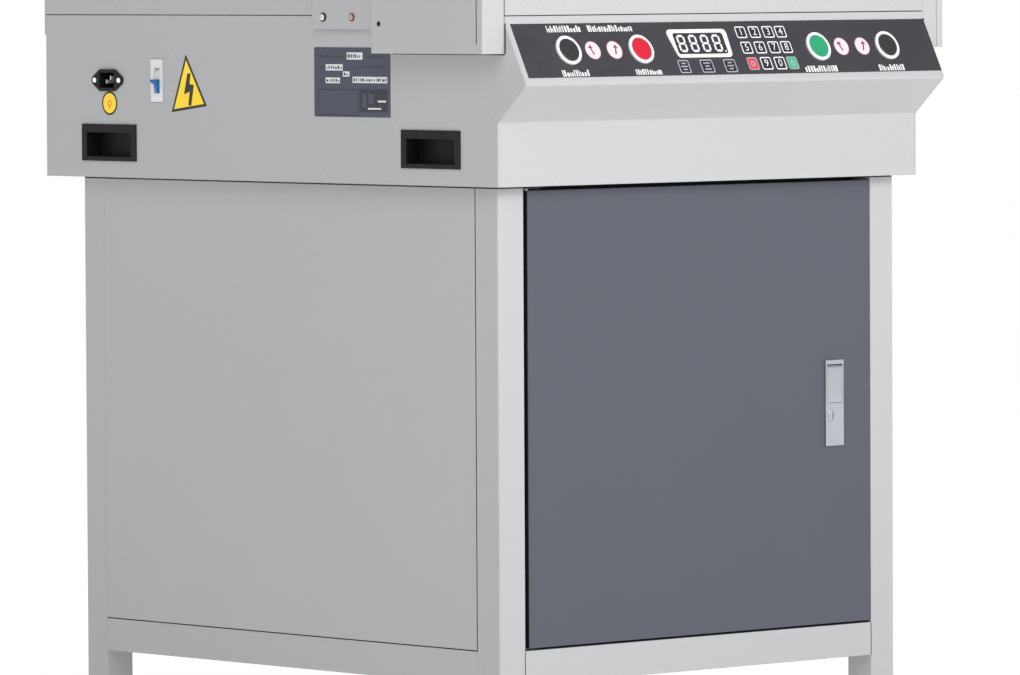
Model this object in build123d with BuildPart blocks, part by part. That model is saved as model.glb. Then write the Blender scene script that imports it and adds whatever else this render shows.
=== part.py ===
from build123d import *
import os
from math import asin, degrees, hypot

# Electric guillotine paper cutter on a cabinet stand. Millimetres, +Z up, +Y to the machine's back,
# +X to the right of a person who stands at its control panel. The origin is on the floor, under the
# centre of the whole machine's length and width.

# ---------------------------------------------------------------- driving dimensions
sheet = 2.0                     # folded steel sheet of the covers
fit = 0.05                      # radial clearance of a shaft that turns or slides in its hole
gap = 0.3                       # clearance between parts that move past each other

# Lower case, the grey box that carries the table
case_half = 296.0
case_front = -337.0
case_back = 376.5
case_bottom = 620.0
case_top = 791.0
chin_height = 684.6             # where the front face starts to lean forwards
nose_y, nose_z = -379.5, 722.6  # foremost edge, at the foot of the control panel
brow_y, brow_z = -348.3, 783.4  # top edge of the control panel
bend = 3.0                      # outer radius of the folds

# Cabinet stand
stand_half = 279.8
stand_front = -319.2
stand_back = 334.9
post = 34.0
post_corner = 2.5               # radius of each post's outward corner
post_bottom = 32.0
rail_bottom, rail_top = 117.0, 151.4
rail_depth = 30.0
upper_rail_bottom = 592.0
panel_sheet = 1.5
panel_return = 12.0             # depth of the folded edge round each cabinet panel
hairline = 0.6                  # seam between neighbouring panels
shadow_gap = 2.0                # open line under the case, where only the inset upper rails carry it
foot_radius = 20.0
stud_radius = 5.0

# Door and its lock
door_left, door_right = -239.8, 245.0
door_bottom, door_top = 153.8, 615.3
door_depth = 20.0
door_sheet = 1.5
door_fold = 1.0                 # outer radius of the door's folded edges
pivot_x, pivot_y = -236.0, -312.0
pivot_radius = 3.0
lock_x = 191.0
lock_bottom, lock_top = 339.5, 429.0
lock_half = 13.0
lock_proud = 2.5
key_x, key_z = 187.5, 371.0
key_radius = 6.5
lever_bottom, lever_top = 384.0, 424.0
lever_half = 10.7
lever_thickness = 6.0
lever_pin_y, lever_pin_z = -318.7, 421.0

# Control panel, measured along the slope from the brow
panel_button_row = 31.0
cut_left_x, cut_right_x = -223.7, 227.2
stop_x, clamp_x = -123.9, 127.0
button_radius = 12.2
bezel_radius = 15.9
collar_radius = 14.5
button_travel = 2.5
overlay_left, overlay_right = -289.1, 295.4
overlay_top, overlay_bottom = 0.4, 60.6
overlay_thickness = 0.5

# Fittings on the sides
inlet_y, inlet_z = 273.0, 722.5
breaker_y, breaker_z = 192.9, 722.7
breaker_proud = 0.8             # how far the breaker's nose stands out of the side plate
drum_radius = 16.0              # drum of the breaker's lever, whose rim fills the slot
lever_width = 9.0
lever_slot_half = 13.4          # half height of the slot in the nose
grip_width, grip_height, grip_depth = 89.0, 38.8, 20.0
grip_side_rim, grip_top_rim, grip_bottom_rim = 8.0, 8.8, 4.6
rear_grip_y, front_grip_y = 271.5, -237.25
grip_z = 656.7

# Electronics behind the chin and in the case
board_left, board_right = -120.0, 90.0
board_low, board_high = 628.0, 678.0
chip_width = 16.0
core_x, core_y = 145.0, -220.0  # centre of the transformer
core_height = 75.0

# Table
table_top, table_bottom = 830.0, 806.0
table_half = 293.5
throat_half = 261.5             # half width of the table between the side frames
cut_line = -142.0               # plane of the knife's flat face
stick_width = 16.0
gauge_slot_half = 8.5

# Gallows: side frames and the crossbeam between them
frame_inner, frame_outer = 262.0, 282.0
frame_front, frame_rear = -160.0, -60.0
frame_top = 1085.0
beam_front, beam_rear = -151.0, -91.0
beam_bottom = 985.0

# Knife: the carrier slides down and to the right on two fixed rollers
carrier_left, carrier_right = -258.0, 238.0
carrier_front, carrier_rear = -172.0, -152.0
carrier_bottom, carrier_top = 920.0, 1085.0
knife_drop = 49.5
knife_drift = 19.8
blade_edge, blade_top = 879.0, 975.0
blade_left, blade_right = -250.0, 230.0
bolt_xs = [blade_left + 40 + 80 * i for i in range(6)]
bolt_z = 950.0
roller_xs = (-150.0, 150.0)
roller_z = 1000.0
roller_radius = 10.0
spindle_radius = 8.0
knife_spindle_x, knife_spindle_y = -215.0, -190.0
drive_pin_z = 1057.0
drive_pin_radius = 6.0

# Clamp
clamp_half = 256.0
clamp_front, clamp_rear = -140.5, -100.0
clamp_bottom, clamp_top = 875.0, 945.0
clamp_axis_y = -120.0
guide_xs = (-200.0, 200.0)
guide_radius = 8.0

# Back gauge
gauge_face, gauge_rear = 40.0, 75.0
gauge_half = 225.0
gauge_screw_z = 775.0

# Gearmotors
knife_gearbox = (-250.0, -180.0)        # along X
clamp_gearbox = (-32.0, 32.0)
knife_motor_y = -172.0
knife_motor_radius = 23.0
clamp_motor_radius = 26.0
gauge_motor_radius = 24.0
gauge_gearbox_front, gauge_gearbox_rear = 330.0, 362.0

# Covers above the table
wing_outer = 326.0
wing_front, wing_back = -348.0, -180.0
wing_bottom, wing_top = 753.5, 1010.0
curtain_front, curtain_rear = -285.0, -265.0
curtain_low, curtain_high = table_top + 14, wing_top - 24
seam = 0.7                      # width and depth of the line between a wing's two shells
frame_cover_outer = 302.0
head_front, head_rear = -218.0, -20.0
head_top, head_bottom = 1180.0, 962.0
rear_cover_top = 900.0
rear_cover_back = 378.7
lid_hinge_y, lid_hinge_z = -12.0, 910.0
lid_half = 291.0
lid_bottom = rear_cover_top + 0.4
lid_thickness = 4.0

# Worked out from the above
slope_y, slope_z = brow_y - nose_y, brow_z - nose_z
slope_length = hypot(slope_y, slope_z)
panel_plane = Plane(
    origin=(0, brow_y, brow_z),
    x_dir=(1, 0, 0),
    z_dir=(0, -slope_z / slope_length, slope_y / slope_length),
)
post_xs = (-stand_half + post / 2, stand_half - post / 2)
post_ys = (stand_front + post / 2, stand_back - post / 2)
bay_half = stand_half - post    # half width of the door bay, between the posts
stand_top = case_bottom - shadow_gap
breaker_face = -case_half - breaker_proud
drum_axis_x = breaker_face + drum_radius + 0.1
button_xs = (cut_left_x, stop_x, clamp_x, cut_right_x)

os.makedirs("parts", exist_ok=True)


def block(x, y, z, mode=Mode.ADD):
    """A block between the low and high values of x, y and z, in the sub-part being built."""
    with Locations((x[0], y[0], z[0])):
        Box(x[1] - x[0], y[1] - y[0], z[1] - z[0], align=(Align.MIN, Align.MIN, Align.MIN), mode=mode)


def rod(base, direction, radius, length, mode=Mode.ADD):
    """A round bar, or a round hole, that starts at base and runs along direction."""
    with Locations(Plane(origin=base, z_dir=direction)):
        Cylinder(radius, length, align=(Align.CENTER, Align.CENTER, Align.MIN), mode=mode)


def cone(base, direction, start_radius, end_radius, length, mode=Mode.ADD):
    """A tapered bar that starts at base and runs along direction."""
    with Locations(Plane(origin=base, z_dir=direction)):
        Cone(start_radius, end_radius, length, align=(Align.CENTER, Align.CENTER, Align.MIN), mode=mode)


def save(builder, name):
    """Label the finished sub-part and write it."""
    builder.part.label = name
    export_step(builder.part, f"parts/{name}.step")


# ================================================================ stand
# Four square tube posts, each closed at the foot by a plate that holds the levelling stud. Only the
# outward corner is rounded, so the panels and rails meet the other edges without a groove.
with BuildPart() as stand_posts:
    with BuildSketch(Plane.XY.offset(post_bottom)):
        with Locations([(x, y) for x in post_xs for y in post_ys]):
            Rectangle(post, post)
        across = vertices().group_by(Axis.X)
        outermost = [corners.sort_by(Axis.Y)[end] for corners in (across[0], across[-1]) for end in (0, -1)]
        fillet(outermost, post_corner)
    extrude(amount=stand_top - post_bottom)
    for post_x in post_xs:
        for post_y in post_ys:
            inner = post / 2 - sheet
            block(
                (post_x - inner, post_x + inner),
                (post_y - inner, post_y + inner),
                (post_bottom + 6, stand_top),
                mode=Mode.SUBTRACT,
            )
            rod((post_x, post_y, post_bottom), (0, 0, 1), stud_radius + fit, 6, mode=Mode.SUBTRACT)
save(stand_posts, "stand_posts")

# Levelling feet: a pad, a swivel cone and a threaded stud, shown plain.
with BuildPart() as leveling_feet:
    for post_x in post_xs:
        for post_y in post_ys:
            rod((post_x, post_y, 0), (0, 0, 1), foot_radius, 7)
            cone((post_x, post_y, 7), (0, 0, 1), foot_radius - 3, 8, 9)
            rod((post_x, post_y, 16), (0, 0, 1), stud_radius, 42)
save(leveling_feet, "leveling_feet")

# Jam nuts that lock each stud under its post.
with BuildPart() as feet_jam_nuts:
    with BuildSketch(Plane.XY.offset(post_bottom - 8)):
        with Locations([(x, y) for x in post_xs for y in post_ys]):
            RegularPolygon(8.5, 6, major_radius=False)
            Circle(stud_radius + fit, mode=Mode.SUBTRACT)
    extrude(amount=8)
save(feet_jam_nuts, "feet_jam_nuts")


def rail_frame(low, high, front, inset=0.0):
    """Four tube rails between the posts; front is the front rail's face, inset sets the others inwards."""
    back = stand_back - inset - rail_depth
    between = (post_ys[0] + post / 2, post_ys[1] - post / 2)
    for near in (front, back):
        block((-bay_half, bay_half), (near, near + rail_depth), (low, high))
        hollow = (near + sheet, near + rail_depth - sheet)
        block((-bay_half, bay_half), hollow, (low + sheet, high - sheet), mode=Mode.SUBTRACT)
    for left in (inset - stand_half, stand_half - inset - rail_depth):
        block((left, left + rail_depth), between, (low, high))
        hollow = (left + sheet, left + rail_depth - sheet)
        block(hollow, between, (low + sheet, high - sheet), mode=Mode.SUBTRACT)


with BuildPart() as stand_lower_rails:
    rail_frame(rail_bottom, rail_top, stand_front)
save(stand_lower_rails, "stand_lower_rails")

# The front upper rail stands behind the door, and the others behind the panels.
with BuildPart() as stand_upper_rails:
    rail_frame(upper_rail_bottom, case_bottom, stand_front + door_depth + 4, inset=panel_return + 0.5)
save(stand_upper_rails, "stand_upper_rails")

# Side and back panels: trays of thin sheet, flush with the posts, open to the inside.
with BuildPart() as cabinet_panels:
    panel_height = (rail_top + hairline, stand_top)
    hollow_height = (panel_height[0] + panel_sheet, panel_height[1] - panel_sheet)
    side_span = (stand_front + post + hairline, stand_back - post)
    hollow_span = (side_span[0] + panel_sheet, side_span[1] - panel_sheet)
    for side in (-1, 1):
        inside = side * (stand_half - panel_return)
        skin = side * (stand_half - panel_sheet)
        block(sorted((side * stand_half, inside)), side_span, panel_height)
        block(sorted((skin, inside)), hollow_span, hollow_height, mode=Mode.SUBTRACT)
    back_half = bay_half - hairline
    hollow_half = back_half - panel_sheet
    block((-back_half, back_half), (stand_back - panel_return, stand_back), panel_height)
    hollow_depth = (stand_back - panel_return, stand_back - panel_sheet)
    block((-hollow_half, hollow_half), hollow_depth, hollow_height, mode=Mode.SUBTRACT)
save(cabinet_panels, "cabinet_panels")

with BuildPart() as cabinet_floor_panel:
    floor_height = (rail_top, rail_top + panel_sheet)
    block((-bay_half + 1, bay_half - 1), (stand_front + 27, stand_back - panel_return - 1), floor_height)
    block((-262, 262), (stand_front + post + 3, stand_back - post - 3), floor_height)
save(cabinet_floor_panel, "cabinet_floor_panel")

# ================================================================ lower case
with BuildPart() as case_base_plate:
    block(
        (-case_half + sheet, case_half - sheet),
        (case_front + sheet, case_back - sheet),
        (case_bottom, case_bottom + sheet),
    )
save(case_base_plate, "case_base_plate")

# Front: one folded sheet with the vertical chin, the overhang, the control panel and the brow.
front_corners = [
    (case_front, case_bottom),
    (case_front, chin_height),
    (nose_y, nose_z),
    (brow_y, brow_z),
    (brow_y, case_top),
]
front_bends = [bend, bend, 1.0]
with BuildPart() as case_front_shell:
    with BuildSketch(Plane.YZ):
        with BuildLine():
            FilletPolyline(*front_corners, radius=front_bends)
            offset(amount=sheet, side=Side.RIGHT)
        make_face()
    extrude(amount=case_half - sheet, both=True)
    with Locations(panel_plane):
        with Locations([(x, -panel_button_row) for x in button_xs]):
            Cylinder(collar_radius + 0.1, 6 * sheet, mode=Mode.SUBTRACT)
save(case_front_shell, "case_front_shell")


def side_outline():
    """Draw the case's side view, in the sketch being drawn."""
    with BuildLine() as edge:
        FilletPolyline(*front_corners, radius=front_bends)
        Polyline(
            (brow_y, case_top),
            (case_back, case_top),
            (case_back, case_bottom),
            (case_front, case_bottom),
        )
    return edge.line


def grip_opening(side, y):
    """Cut the hole for one recessed grip in a side plate."""
    x = sorted((side * (case_half - 2 * sheet), side * (case_half + sheet)))
    half_width, half_height = grip_width / 2 - 3, grip_height / 2 - 3
    z = (grip_z - half_height, grip_z + half_height)
    block(x, (y - half_width, y + half_width), z, mode=Mode.SUBTRACT)


with BuildPart() as case_side_left:
    with BuildSketch(Plane.YZ.offset(-case_half)):
        add(side_outline())
        make_face()
    extrude(amount=sheet)
    grip_opening(-1, rear_grip_y)
    grip_opening(-1, front_grip_y)
    plate = (-case_half - 1, -case_half + sheet + 1)
    block(plate, (inlet_y - 14.2, inlet_y + 14.2), (inlet_z - 10.2, inlet_z + 10.2), mode=Mode.SUBTRACT)
    block(plate, (breaker_y - 9.8, breaker_y + 9.8), (breaker_z - 22.8, breaker_z + 22.8), mode=Mode.SUBTRACT)
save(case_side_left, "case_side_left")

with BuildPart() as case_side_right:
    with BuildSketch(Plane.YZ.offset(case_half - sheet)):
        add(side_outline())
        make_face()
    extrude(amount=sheet)
    grip_opening(1, rear_grip_y)
    grip_opening(1, front_grip_y)
save(case_side_right, "case_side_right")

with BuildPart() as case_back_panel:
    block((-case_half + sheet, case_half - sheet), (case_back - sheet, case_back), (case_bottom, case_top))
save(case_back_panel, "case_back_panel")

# ---------------------------------------------------------------- recessed grips
def grip_cup(side, y):
    """A moulded cup that opens outwards, with a thin rim on the case."""
    rim = sorted((side * case_half, side * (case_half + 1.5)))
    half_width, half_height = grip_width / 2, grip_height / 2
    block(rim, (y - half_width, y + half_width), (grip_z - half_height, grip_z + half_height))
    cup = sorted((side * case_half, side * (case_half - grip_depth)))
    cup_width, cup_height = half_width - 3.4, half_height - 3.4
    block(cup, (y - cup_width, y + cup_width), (grip_z - cup_height, grip_z + cup_height))
    pocket = sorted((side * (case_half - grip_depth + 2), side * (case_half + 2)))
    pocket_width = half_width - grip_side_rim
    pocket_height = (grip_z - half_height + grip_bottom_rim, grip_z + half_height - grip_top_rim)
    block(pocket, (y - pocket_width, y + pocket_width), pocket_height, mode=Mode.SUBTRACT)


with BuildPart() as recess_grips_left:
    grip_cup(-1, rear_grip_y)
    grip_cup(-1, front_grip_y)
save(recess_grips_left, "recess_grips_left")

with BuildPart() as recess_grips_right:
    grip_cup(1, rear_grip_y)
    grip_cup(1, front_grip_y)
save(recess_grips_right, "recess_grips_right")

# ---------------------------------------------------------------- power inlet, left side
# Flange with two screw ears, a body behind the side plate, and a socket for the connector.
inlet_face = -case_half - 2.5    # outer face of the flange


def inlet_pins(mode=Mode.ADD):
    """The socket's three flat pins, or the slots that they stand in."""
    for pin_y, pin_z in ((-7, -1.5), (0, 2.5), (7, -1.5)):
        y, z = inlet_y + pin_y, inlet_z + pin_z
        block((inlet_face + 5.5, inlet_face + 30), (y - 1, y + 1), (z - 2, z + 2), mode=mode)


with BuildPart() as power_inlet:
    with BuildSketch(Plane.YZ.offset(inlet_face)):
        with Locations((inlet_y, inlet_z)):
            RectangleRounded(29, 23, 4)
        with Locations((inlet_y - 20, inlet_z), (inlet_y + 20, inlet_z)):
            Circle(5)
        make_hull()
    extrude(amount=2.5)
    block((-case_half, -case_half + 20), (inlet_y - 14, inlet_y + 14), (inlet_z - 10, inlet_z + 10))
    socket_depth = (inlet_face, inlet_face + 19)
    block(socket_depth, (inlet_y - 12, inlet_y + 12), (inlet_z - 8, inlet_z + 8), mode=Mode.SUBTRACT)
    inlet_pins(mode=Mode.SUBTRACT)
save(power_inlet, "power_inlet")

with BuildPart() as power_inlet_pins:
    inlet_pins()
save(power_inlet_pins, "power_inlet_pins")

# ---------------------------------------------------------------- circuit breaker, left side
with BuildPart() as breaker_body:
    width = (breaker_y - 9.5, breaker_y + 9.5)
    block((breaker_face, -280), width, (breaker_z - 22.5, breaker_z + 22.5))
    block((-280, -228), width, (breaker_z - 40, breaker_z + 40))
    slot_width = lever_width + 2 * gap
    slot_start = breaker_y - slot_width / 2
    slot_height = (breaker_z - lever_slot_half, breaker_z + lever_slot_half)
    slot_depth = (breaker_face - 1, drum_axis_x)
    block(slot_depth, (slot_start, slot_start + slot_width), slot_height, mode=Mode.SUBTRACT)
    cavity_end = (drum_axis_x, slot_start, breaker_z)
    rod(cavity_end, (0, 1, 0), drum_radius + gap, slot_width, mode=Mode.SUBTRACT)
save(breaker_body, "breaker_body")

# The lever's drum turns in the breaker; its tab stands out of the slot, over the lower half when off.
with BuildPart() as breaker_lever:
    lever_start = breaker_y - lever_width / 2
    rod((drum_axis_x, lever_start, breaker_z), (0, 1, 0), drum_radius, lever_width)
    with BuildSketch(Plane(origin=(breaker_face, lever_start, breaker_z), x_dir=(-1, 0, 0), z_dir=(0, 1, 0))):
        with BuildLine():
            Polyline((-3, 1.2), (5.6, 1.2), (5.6, -1.8), (2.4, -8.4), (1.6, -12.8), (0.4, -12.8), (0.4, -8.6),
                     (-3, -5), close=True)
        make_face()
    extrude(amount=lever_width)
save(breaker_lever, "breaker_lever")

# ================================================================ control panel
with BuildPart() as control_overlay:
    with BuildSketch(panel_plane):
        with Locations(((overlay_left + overlay_right) / 2, -(overlay_top + overlay_bottom) / 2)):
            Rectangle(overlay_right - overlay_left, overlay_bottom - overlay_top)
        with Locations([(x, -panel_button_row) for x in button_xs]):
            Circle(collar_radius + 0.1, mode=Mode.SUBTRACT)
    extrude(amount=overlay_thickness)
save(control_overlay, "control_overlay")

# Clear window over the counter's digits.
with BuildPart() as display_window:
    with BuildSketch(panel_plane.offset(overlay_thickness)):
        with Locations((-38.75, -25.5)):
            RectangleRounded(70.5, 24.5, 3)
    extrude(amount=1)
save(display_window, "display_window")

# A white ring with a collar through the panel around each push button.
with BuildPart() as button_bezels:
    with BuildSketch(panel_plane.offset(overlay_thickness)):
        with Locations([(x, -panel_button_row) for x in button_xs]):
            Circle(bezel_radius)
            Circle(button_radius + gap, mode=Mode.SUBTRACT)
    extrude(amount=2)
    with BuildSketch(panel_plane.offset(overlay_thickness)):
        with Locations([(x, -panel_button_row) for x in button_xs]):
            Circle(collar_radius)
            Circle(button_radius + gap, mode=Mode.SUBTRACT)
    extrude(amount=-10)
save(button_bezels, "button_bezels")


def push_button(x):
    """A round button that stands a little above its bezel, with a softened rim."""
    with Locations(panel_plane.offset(-8)):
        with Locations((x, -panel_button_row)):
            Cylinder(button_radius, 11.5, align=(Align.CENTER, Align.CENTER, Align.MIN))
    outer = faces().sort_by(Axis(panel_plane.origin, panel_plane.z_dir))[-1]
    fillet(outer.edges(), 0.8)


with BuildPart() as cut_button_left:
    push_button(cut_left_x)
save(cut_button_left, "cut_button_left")

with BuildPart() as cut_button_right:
    push_button(cut_right_x)
save(cut_button_right, "cut_button_right")

with BuildPart() as stop_button:
    push_button(stop_x)
save(stop_button, "stop_button")

with BuildPart() as clamp_button:
    push_button(clamp_x)
save(clamp_button, "clamp_button")

# Contact blocks behind the buttons.
with BuildPart() as switch_blocks:
    with BuildSketch(panel_plane.offset(-8 - button_travel - 1)):
        with Locations([(x, -panel_button_row) for x in button_xs]):
            Rectangle(24, 24)
    extrude(amount=-30)
save(switch_blocks, "switch_blocks")

with BuildPart() as control_board:
    board_y = case_front + 14
    block((board_left, board_right), (board_y, board_y + 1.6), (board_low, board_high))
    for chip_x in (-95, -60, -15, 25, 60):
        chip_depth = (board_y + 1.6, board_y + 9)
        block((chip_x, chip_x + chip_width), chip_depth, (board_low + 12, board_high - 16))
save(control_board, "control_board")

with BuildPart() as power_transformer:
    foot = case_bottom + sheet
    block((core_x - 45, core_x + 45), (core_y - 30, core_y + 30), (foot, foot + core_height))
    block((core_x - 30, core_x + 30), (core_y - 44, core_y + 44), (foot + 15, foot + core_height - 15))
save(power_transformer, "power_transformer")

# ================================================================ bed and table
with BuildPart() as bed_rails:
    for side in (-1, 1):
        block(sorted((side * 230, side * 255)), (-328, 325), (table_bottom - 40, table_bottom))
save(bed_rails, "bed_rails")

front_edge = brow_y + sheet
stick_front, stick_rear = cut_line - stick_width / 2, cut_line + stick_width / 2
notch_front, notch_rear = frame_front - 1, frame_rear + 1

# Front table, with the ledge that the cutting stick lies on. Its rear corners clear the frame covers.
with BuildPart() as front_table:
    block((-table_half, table_half), (front_edge, wing_back - 0.5), (table_bottom, table_top))
    block((-frame_outer + gap, frame_outer - gap), (wing_back - 0.5, notch_front), (table_bottom, table_top))
    block((-throat_half, throat_half), (notch_front, stick_front - 0.2), (table_bottom, table_top))
    block((-throat_half, throat_half), (stick_front - 0.2, stick_rear), (table_bottom, table_bottom + 8))
save(front_table, "front_table")

with BuildPart() as front_apron:
    block((-case_half + 0.5, case_half - 0.5), (brow_y, front_edge), (case_top + 0.8, table_top - 0.5))
    fillet(edges().filter_by(Axis.X).group_by(Axis.Y)[0], 0.8)
save(front_apron, "front_apron")

# Plastic stick under the knife, with the groove that the edge has cut in it.
with BuildPart() as cutting_stick:
    block((-260, 260), (stick_front, stick_rear), (table_bottom + 8, table_top))
    block((-260, 260), (cut_line - 2.5, cut_line + 1), (table_top - 2, table_top), mode=Mode.SUBTRACT)
save(cutting_stick, "cutting_stick")

# Rear table, with the back gauge's slot and the lug that holds its screw's front end.
with BuildPart() as rear_table:
    block((-throat_half, throat_half), (stick_rear + 0.2, notch_rear), (table_bottom, table_top))
    block((-table_half, table_half), (notch_rear, case_back - 6), (table_bottom, table_top))
    block((-15, 15), (-130, -108), (gauge_screw_z - 15, table_bottom))
    slot_height = (table_bottom - 1, table_top + 1)
    block((-gauge_slot_half, gauge_slot_half), (-92, 335), slot_height, mode=Mode.SUBTRACT)
    rod((0, -131, gauge_screw_z), (0, 1, 0), spindle_radius + fit, 24, mode=Mode.SUBTRACT)
save(rear_table, "rear_table")

# ================================================================ gallows
with BuildPart() as side_frames:
    for side in (-1, 1):
        block(
            sorted((side * frame_inner, side * frame_outer)),
            (frame_front, frame_rear),
            (case_bottom + sheet, frame_top),
        )
save(side_frames, "side_frames")

with BuildPart() as crossbeam:
    block((-frame_inner, frame_inner), (beam_front, beam_rear), (beam_bottom, frame_top))
    for bore_x in (0, *guide_xs):
        rod((bore_x, clamp_axis_y, beam_bottom), (0, 0, 1), spindle_radius + fit, 100, mode=Mode.SUBTRACT)
save(crossbeam, "crossbeam")

# Rollers that guide the carrier, each with a cap in front of it.
with BuildPart() as carrier_rollers:
    for roller_x in roller_xs:
        rod((roller_x, beam_front, roller_z), (0, -1, 0), roller_radius, 27)
        rod((roller_x, carrier_front - 2, roller_z), (0, -1, 0), roller_radius + 4, 4)
save(carrier_rollers, "carrier_rollers")

# ================================================================ knife
def slanted_slot(x, z):
    """Cut a slot for a roller at (x, z) that lets the carrier slide down and to the right."""
    reach = hypot(knife_drop, knife_drift)
    angle = degrees(asin(knife_drop / reach))
    middle = (x - knife_drift / 2, carrier_rear, z + knife_drop / 2)
    slot_plane = Plane(origin=middle, x_dir=(1, 0, 0), z_dir=(0, -1, 0))
    with BuildSketch(slot_plane) as opening:
        SlotCenterToCenter(reach + 1, 2 * (roller_radius + gap), rotation=-angle)
    extrude(opening.sketch, amount=carrier_rear - carrier_front, mode=Mode.SUBTRACT)


with BuildPart() as blade_carrier:
    block((carrier_left, carrier_right), (carrier_front, carrier_rear), (carrier_bottom, carrier_top))
    chamfer(edges().filter_by(Axis.X).group_by(Axis.Z)[0].sort_by(Axis.Y)[0], 8)
    for roller_x in roller_xs:
        slanted_slot(roller_x, roller_z)
    drive_plane = Plane(
        origin=(knife_spindle_x - knife_drift / 2, carrier_rear, drive_pin_z),
        x_dir=(1, 0, 0),
        z_dir=(0, -1, 0),
    )
    with BuildSketch(drive_plane):
        SlotCenterToCenter(knife_drift + 1, 2 * (drive_pin_radius + gap))
    extrude(amount=carrier_rear - carrier_front, mode=Mode.SUBTRACT)
    for bolt_x in bolt_xs:
        rod((bolt_x, carrier_rear, bolt_z), (0, -1, 0), 5, 20, mode=Mode.SUBTRACT)
save(blade_carrier, "blade_carrier")

# Blade: flat at the back, ground to an edge from the front.
with BuildPart() as blade:
    with BuildSketch(Plane.YZ.offset(blade_left)):
        with BuildLine():
            Polyline(
                (carrier_rear, blade_top),
                (cut_line, blade_top),
                (cut_line, blade_edge),
                (cut_line - 0.4, blade_edge),
                (carrier_rear, blade_edge + 23),
                close=True,
            )
        make_face()
    extrude(amount=blade_right - blade_left)
    for bolt_x in bolt_xs:
        rod((bolt_x, cut_line - 1, bolt_z), (0, -1, 0), 5, 9.5, mode=Mode.SUBTRACT)
save(blade, "blade")

with BuildPart() as blade_bolts:
    for bolt_x in bolt_xs:
        rod((bolt_x, cut_line - 2, bolt_z), (0, -1, 0), 4.95, 30.5)
        rod((bolt_x, carrier_front, bolt_z), (0, -1, 0), 8, 6)
save(blade_bolts, "blade_bolts")

# The spindle turns in the gearbox above it and drives the nut, whose pin carries the knife.
with BuildPart() as knife_spindle:
    rod((knife_spindle_x, knife_spindle_y, beam_bottom), (0, 0, 1), spindle_radius, 130)
save(knife_spindle, "knife_spindle")

with BuildPart() as knife_nut:
    block(
        (knife_spindle_x - 20, knife_spindle_x + 20),
        (knife_spindle_y - 14, knife_spindle_y + 14),
        (drive_pin_z - 17, drive_pin_z + 18),
    )
    thread_start = (knife_spindle_x, knife_spindle_y, drive_pin_z - 20)
    rod(thread_start, (0, 0, 1), spindle_radius + fit, 40, mode=Mode.SUBTRACT)
    rod((knife_spindle_x, knife_spindle_y + 14, drive_pin_z), (0, 1, 0), drive_pin_radius, 21)
save(knife_nut, "knife_nut")

# ================================================================ clamp
with BuildPart() as clamp_beam:
    block((-clamp_half, clamp_half), (clamp_front, clamp_rear), (clamp_bottom, clamp_top))
    chamfer(edges().filter_by(Axis.X).group_by(Axis.Z)[-1], 4)
    rod((0, clamp_axis_y, clamp_top), (0, 0, -1), spindle_radius + fit, 66, mode=Mode.SUBTRACT)
    for guide_x in guide_xs:
        rod((guide_x, clamp_axis_y, clamp_top), (0, 0, -1), guide_radius, 20, mode=Mode.SUBTRACT)
save(clamp_beam, "clamp_beam")

with BuildPart() as clamp_guide_rods:
    for guide_x in guide_xs:
        rod((guide_x, clamp_axis_y, clamp_top - 20), (0, 0, 1), guide_radius, 235)
save(clamp_guide_rods, "clamp_guide_rods")

with BuildPart() as clamp_spindle:
    rod((0, clamp_axis_y, clamp_top - 64), (0, 0, 1), spindle_radius, 239)
save(clamp_spindle, "clamp_spindle")

# ================================================================ back gauge
with BuildPart() as backgauge:
    block((-gauge_half, gauge_half), (gauge_face, gauge_face + 12), (table_top + 1, table_top + 60))
    block((-gauge_half, gauge_half), (gauge_face + 12, gauge_rear), (table_top + 1, table_top + 14))
    for rib_x in (-200, -100, 0, 100, 200):
        block((rib_x - 4, rib_x + 4), (gauge_face + 12, gauge_rear), (table_top + 14, table_top + 45))
save(backgauge, "backgauge")

with BuildPart() as gauge_nut:
    block((-8, 8), (gauge_face + 7, gauge_face + 27), (gauge_screw_z + 17, table_top + 1))
    block((-18, 18), (gauge_face + 2, gauge_face + 32), (gauge_screw_z - 17, gauge_screw_z + 17))
    rod((0, gauge_face, gauge_screw_z), (0, 1, 0), spindle_radius + fit, 36, mode=Mode.SUBTRACT)
save(gauge_nut, "gauge_nut")

with BuildPart() as gauge_screw:
    rod((0, -128, gauge_screw_z), (0, 1, 0), spindle_radius, 478)
save(gauge_screw, "gauge_screw")

# ================================================================ drive motors
# Three gearmotors: knife, clamp and back gauge. Each gearbox is bored for its own spindle.
with BuildPart() as drive_motors:
    bore = spindle_radius + fit
    block(knife_gearbox, (-206, -132), (frame_top, frame_top + 10))
    block(knife_gearbox, (-204, -150), (frame_top + 10, frame_top + 33))
    rod((knife_gearbox[1], knife_motor_y, frame_top + 35), (1, 0, 0), knife_motor_radius, 105)
    rod((knife_gearbox[1] - 3, knife_motor_y, frame_top + 33), (1, 0, 0), knife_motor_radius - 5, 6)
    rod((knife_spindle_x, knife_spindle_y, frame_top), (0, 0, 1), bore, 31, mode=Mode.SUBTRACT)
    block(clamp_gearbox, (-150, -92), (frame_top, frame_top + 40))
    rod((clamp_gearbox[1], clamp_axis_y, frame_top + 27), (1, 0, 0), clamp_motor_radius, 115)
    rod((0, clamp_axis_y, frame_top), (0, 0, 1), bore, 36, mode=Mode.SUBTRACT)
    gauge_gearbox_middle = (gauge_gearbox_front + gauge_gearbox_rear) / 2
    gearbox_low = gauge_screw_z - 30
    block((-28, 28), (gauge_gearbox_front, gauge_gearbox_rear), (gearbox_low, gauge_screw_z + 28))
    rod((0, gauge_gearbox_middle, gearbox_low), (0, 0, -1), gauge_motor_radius, 100)
    rod((0, gauge_gearbox_front - 1, gauge_screw_z), (0, 1, 0), bore, 22, mode=Mode.SUBTRACT)
save(drive_motors, "drive_motors")

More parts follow.
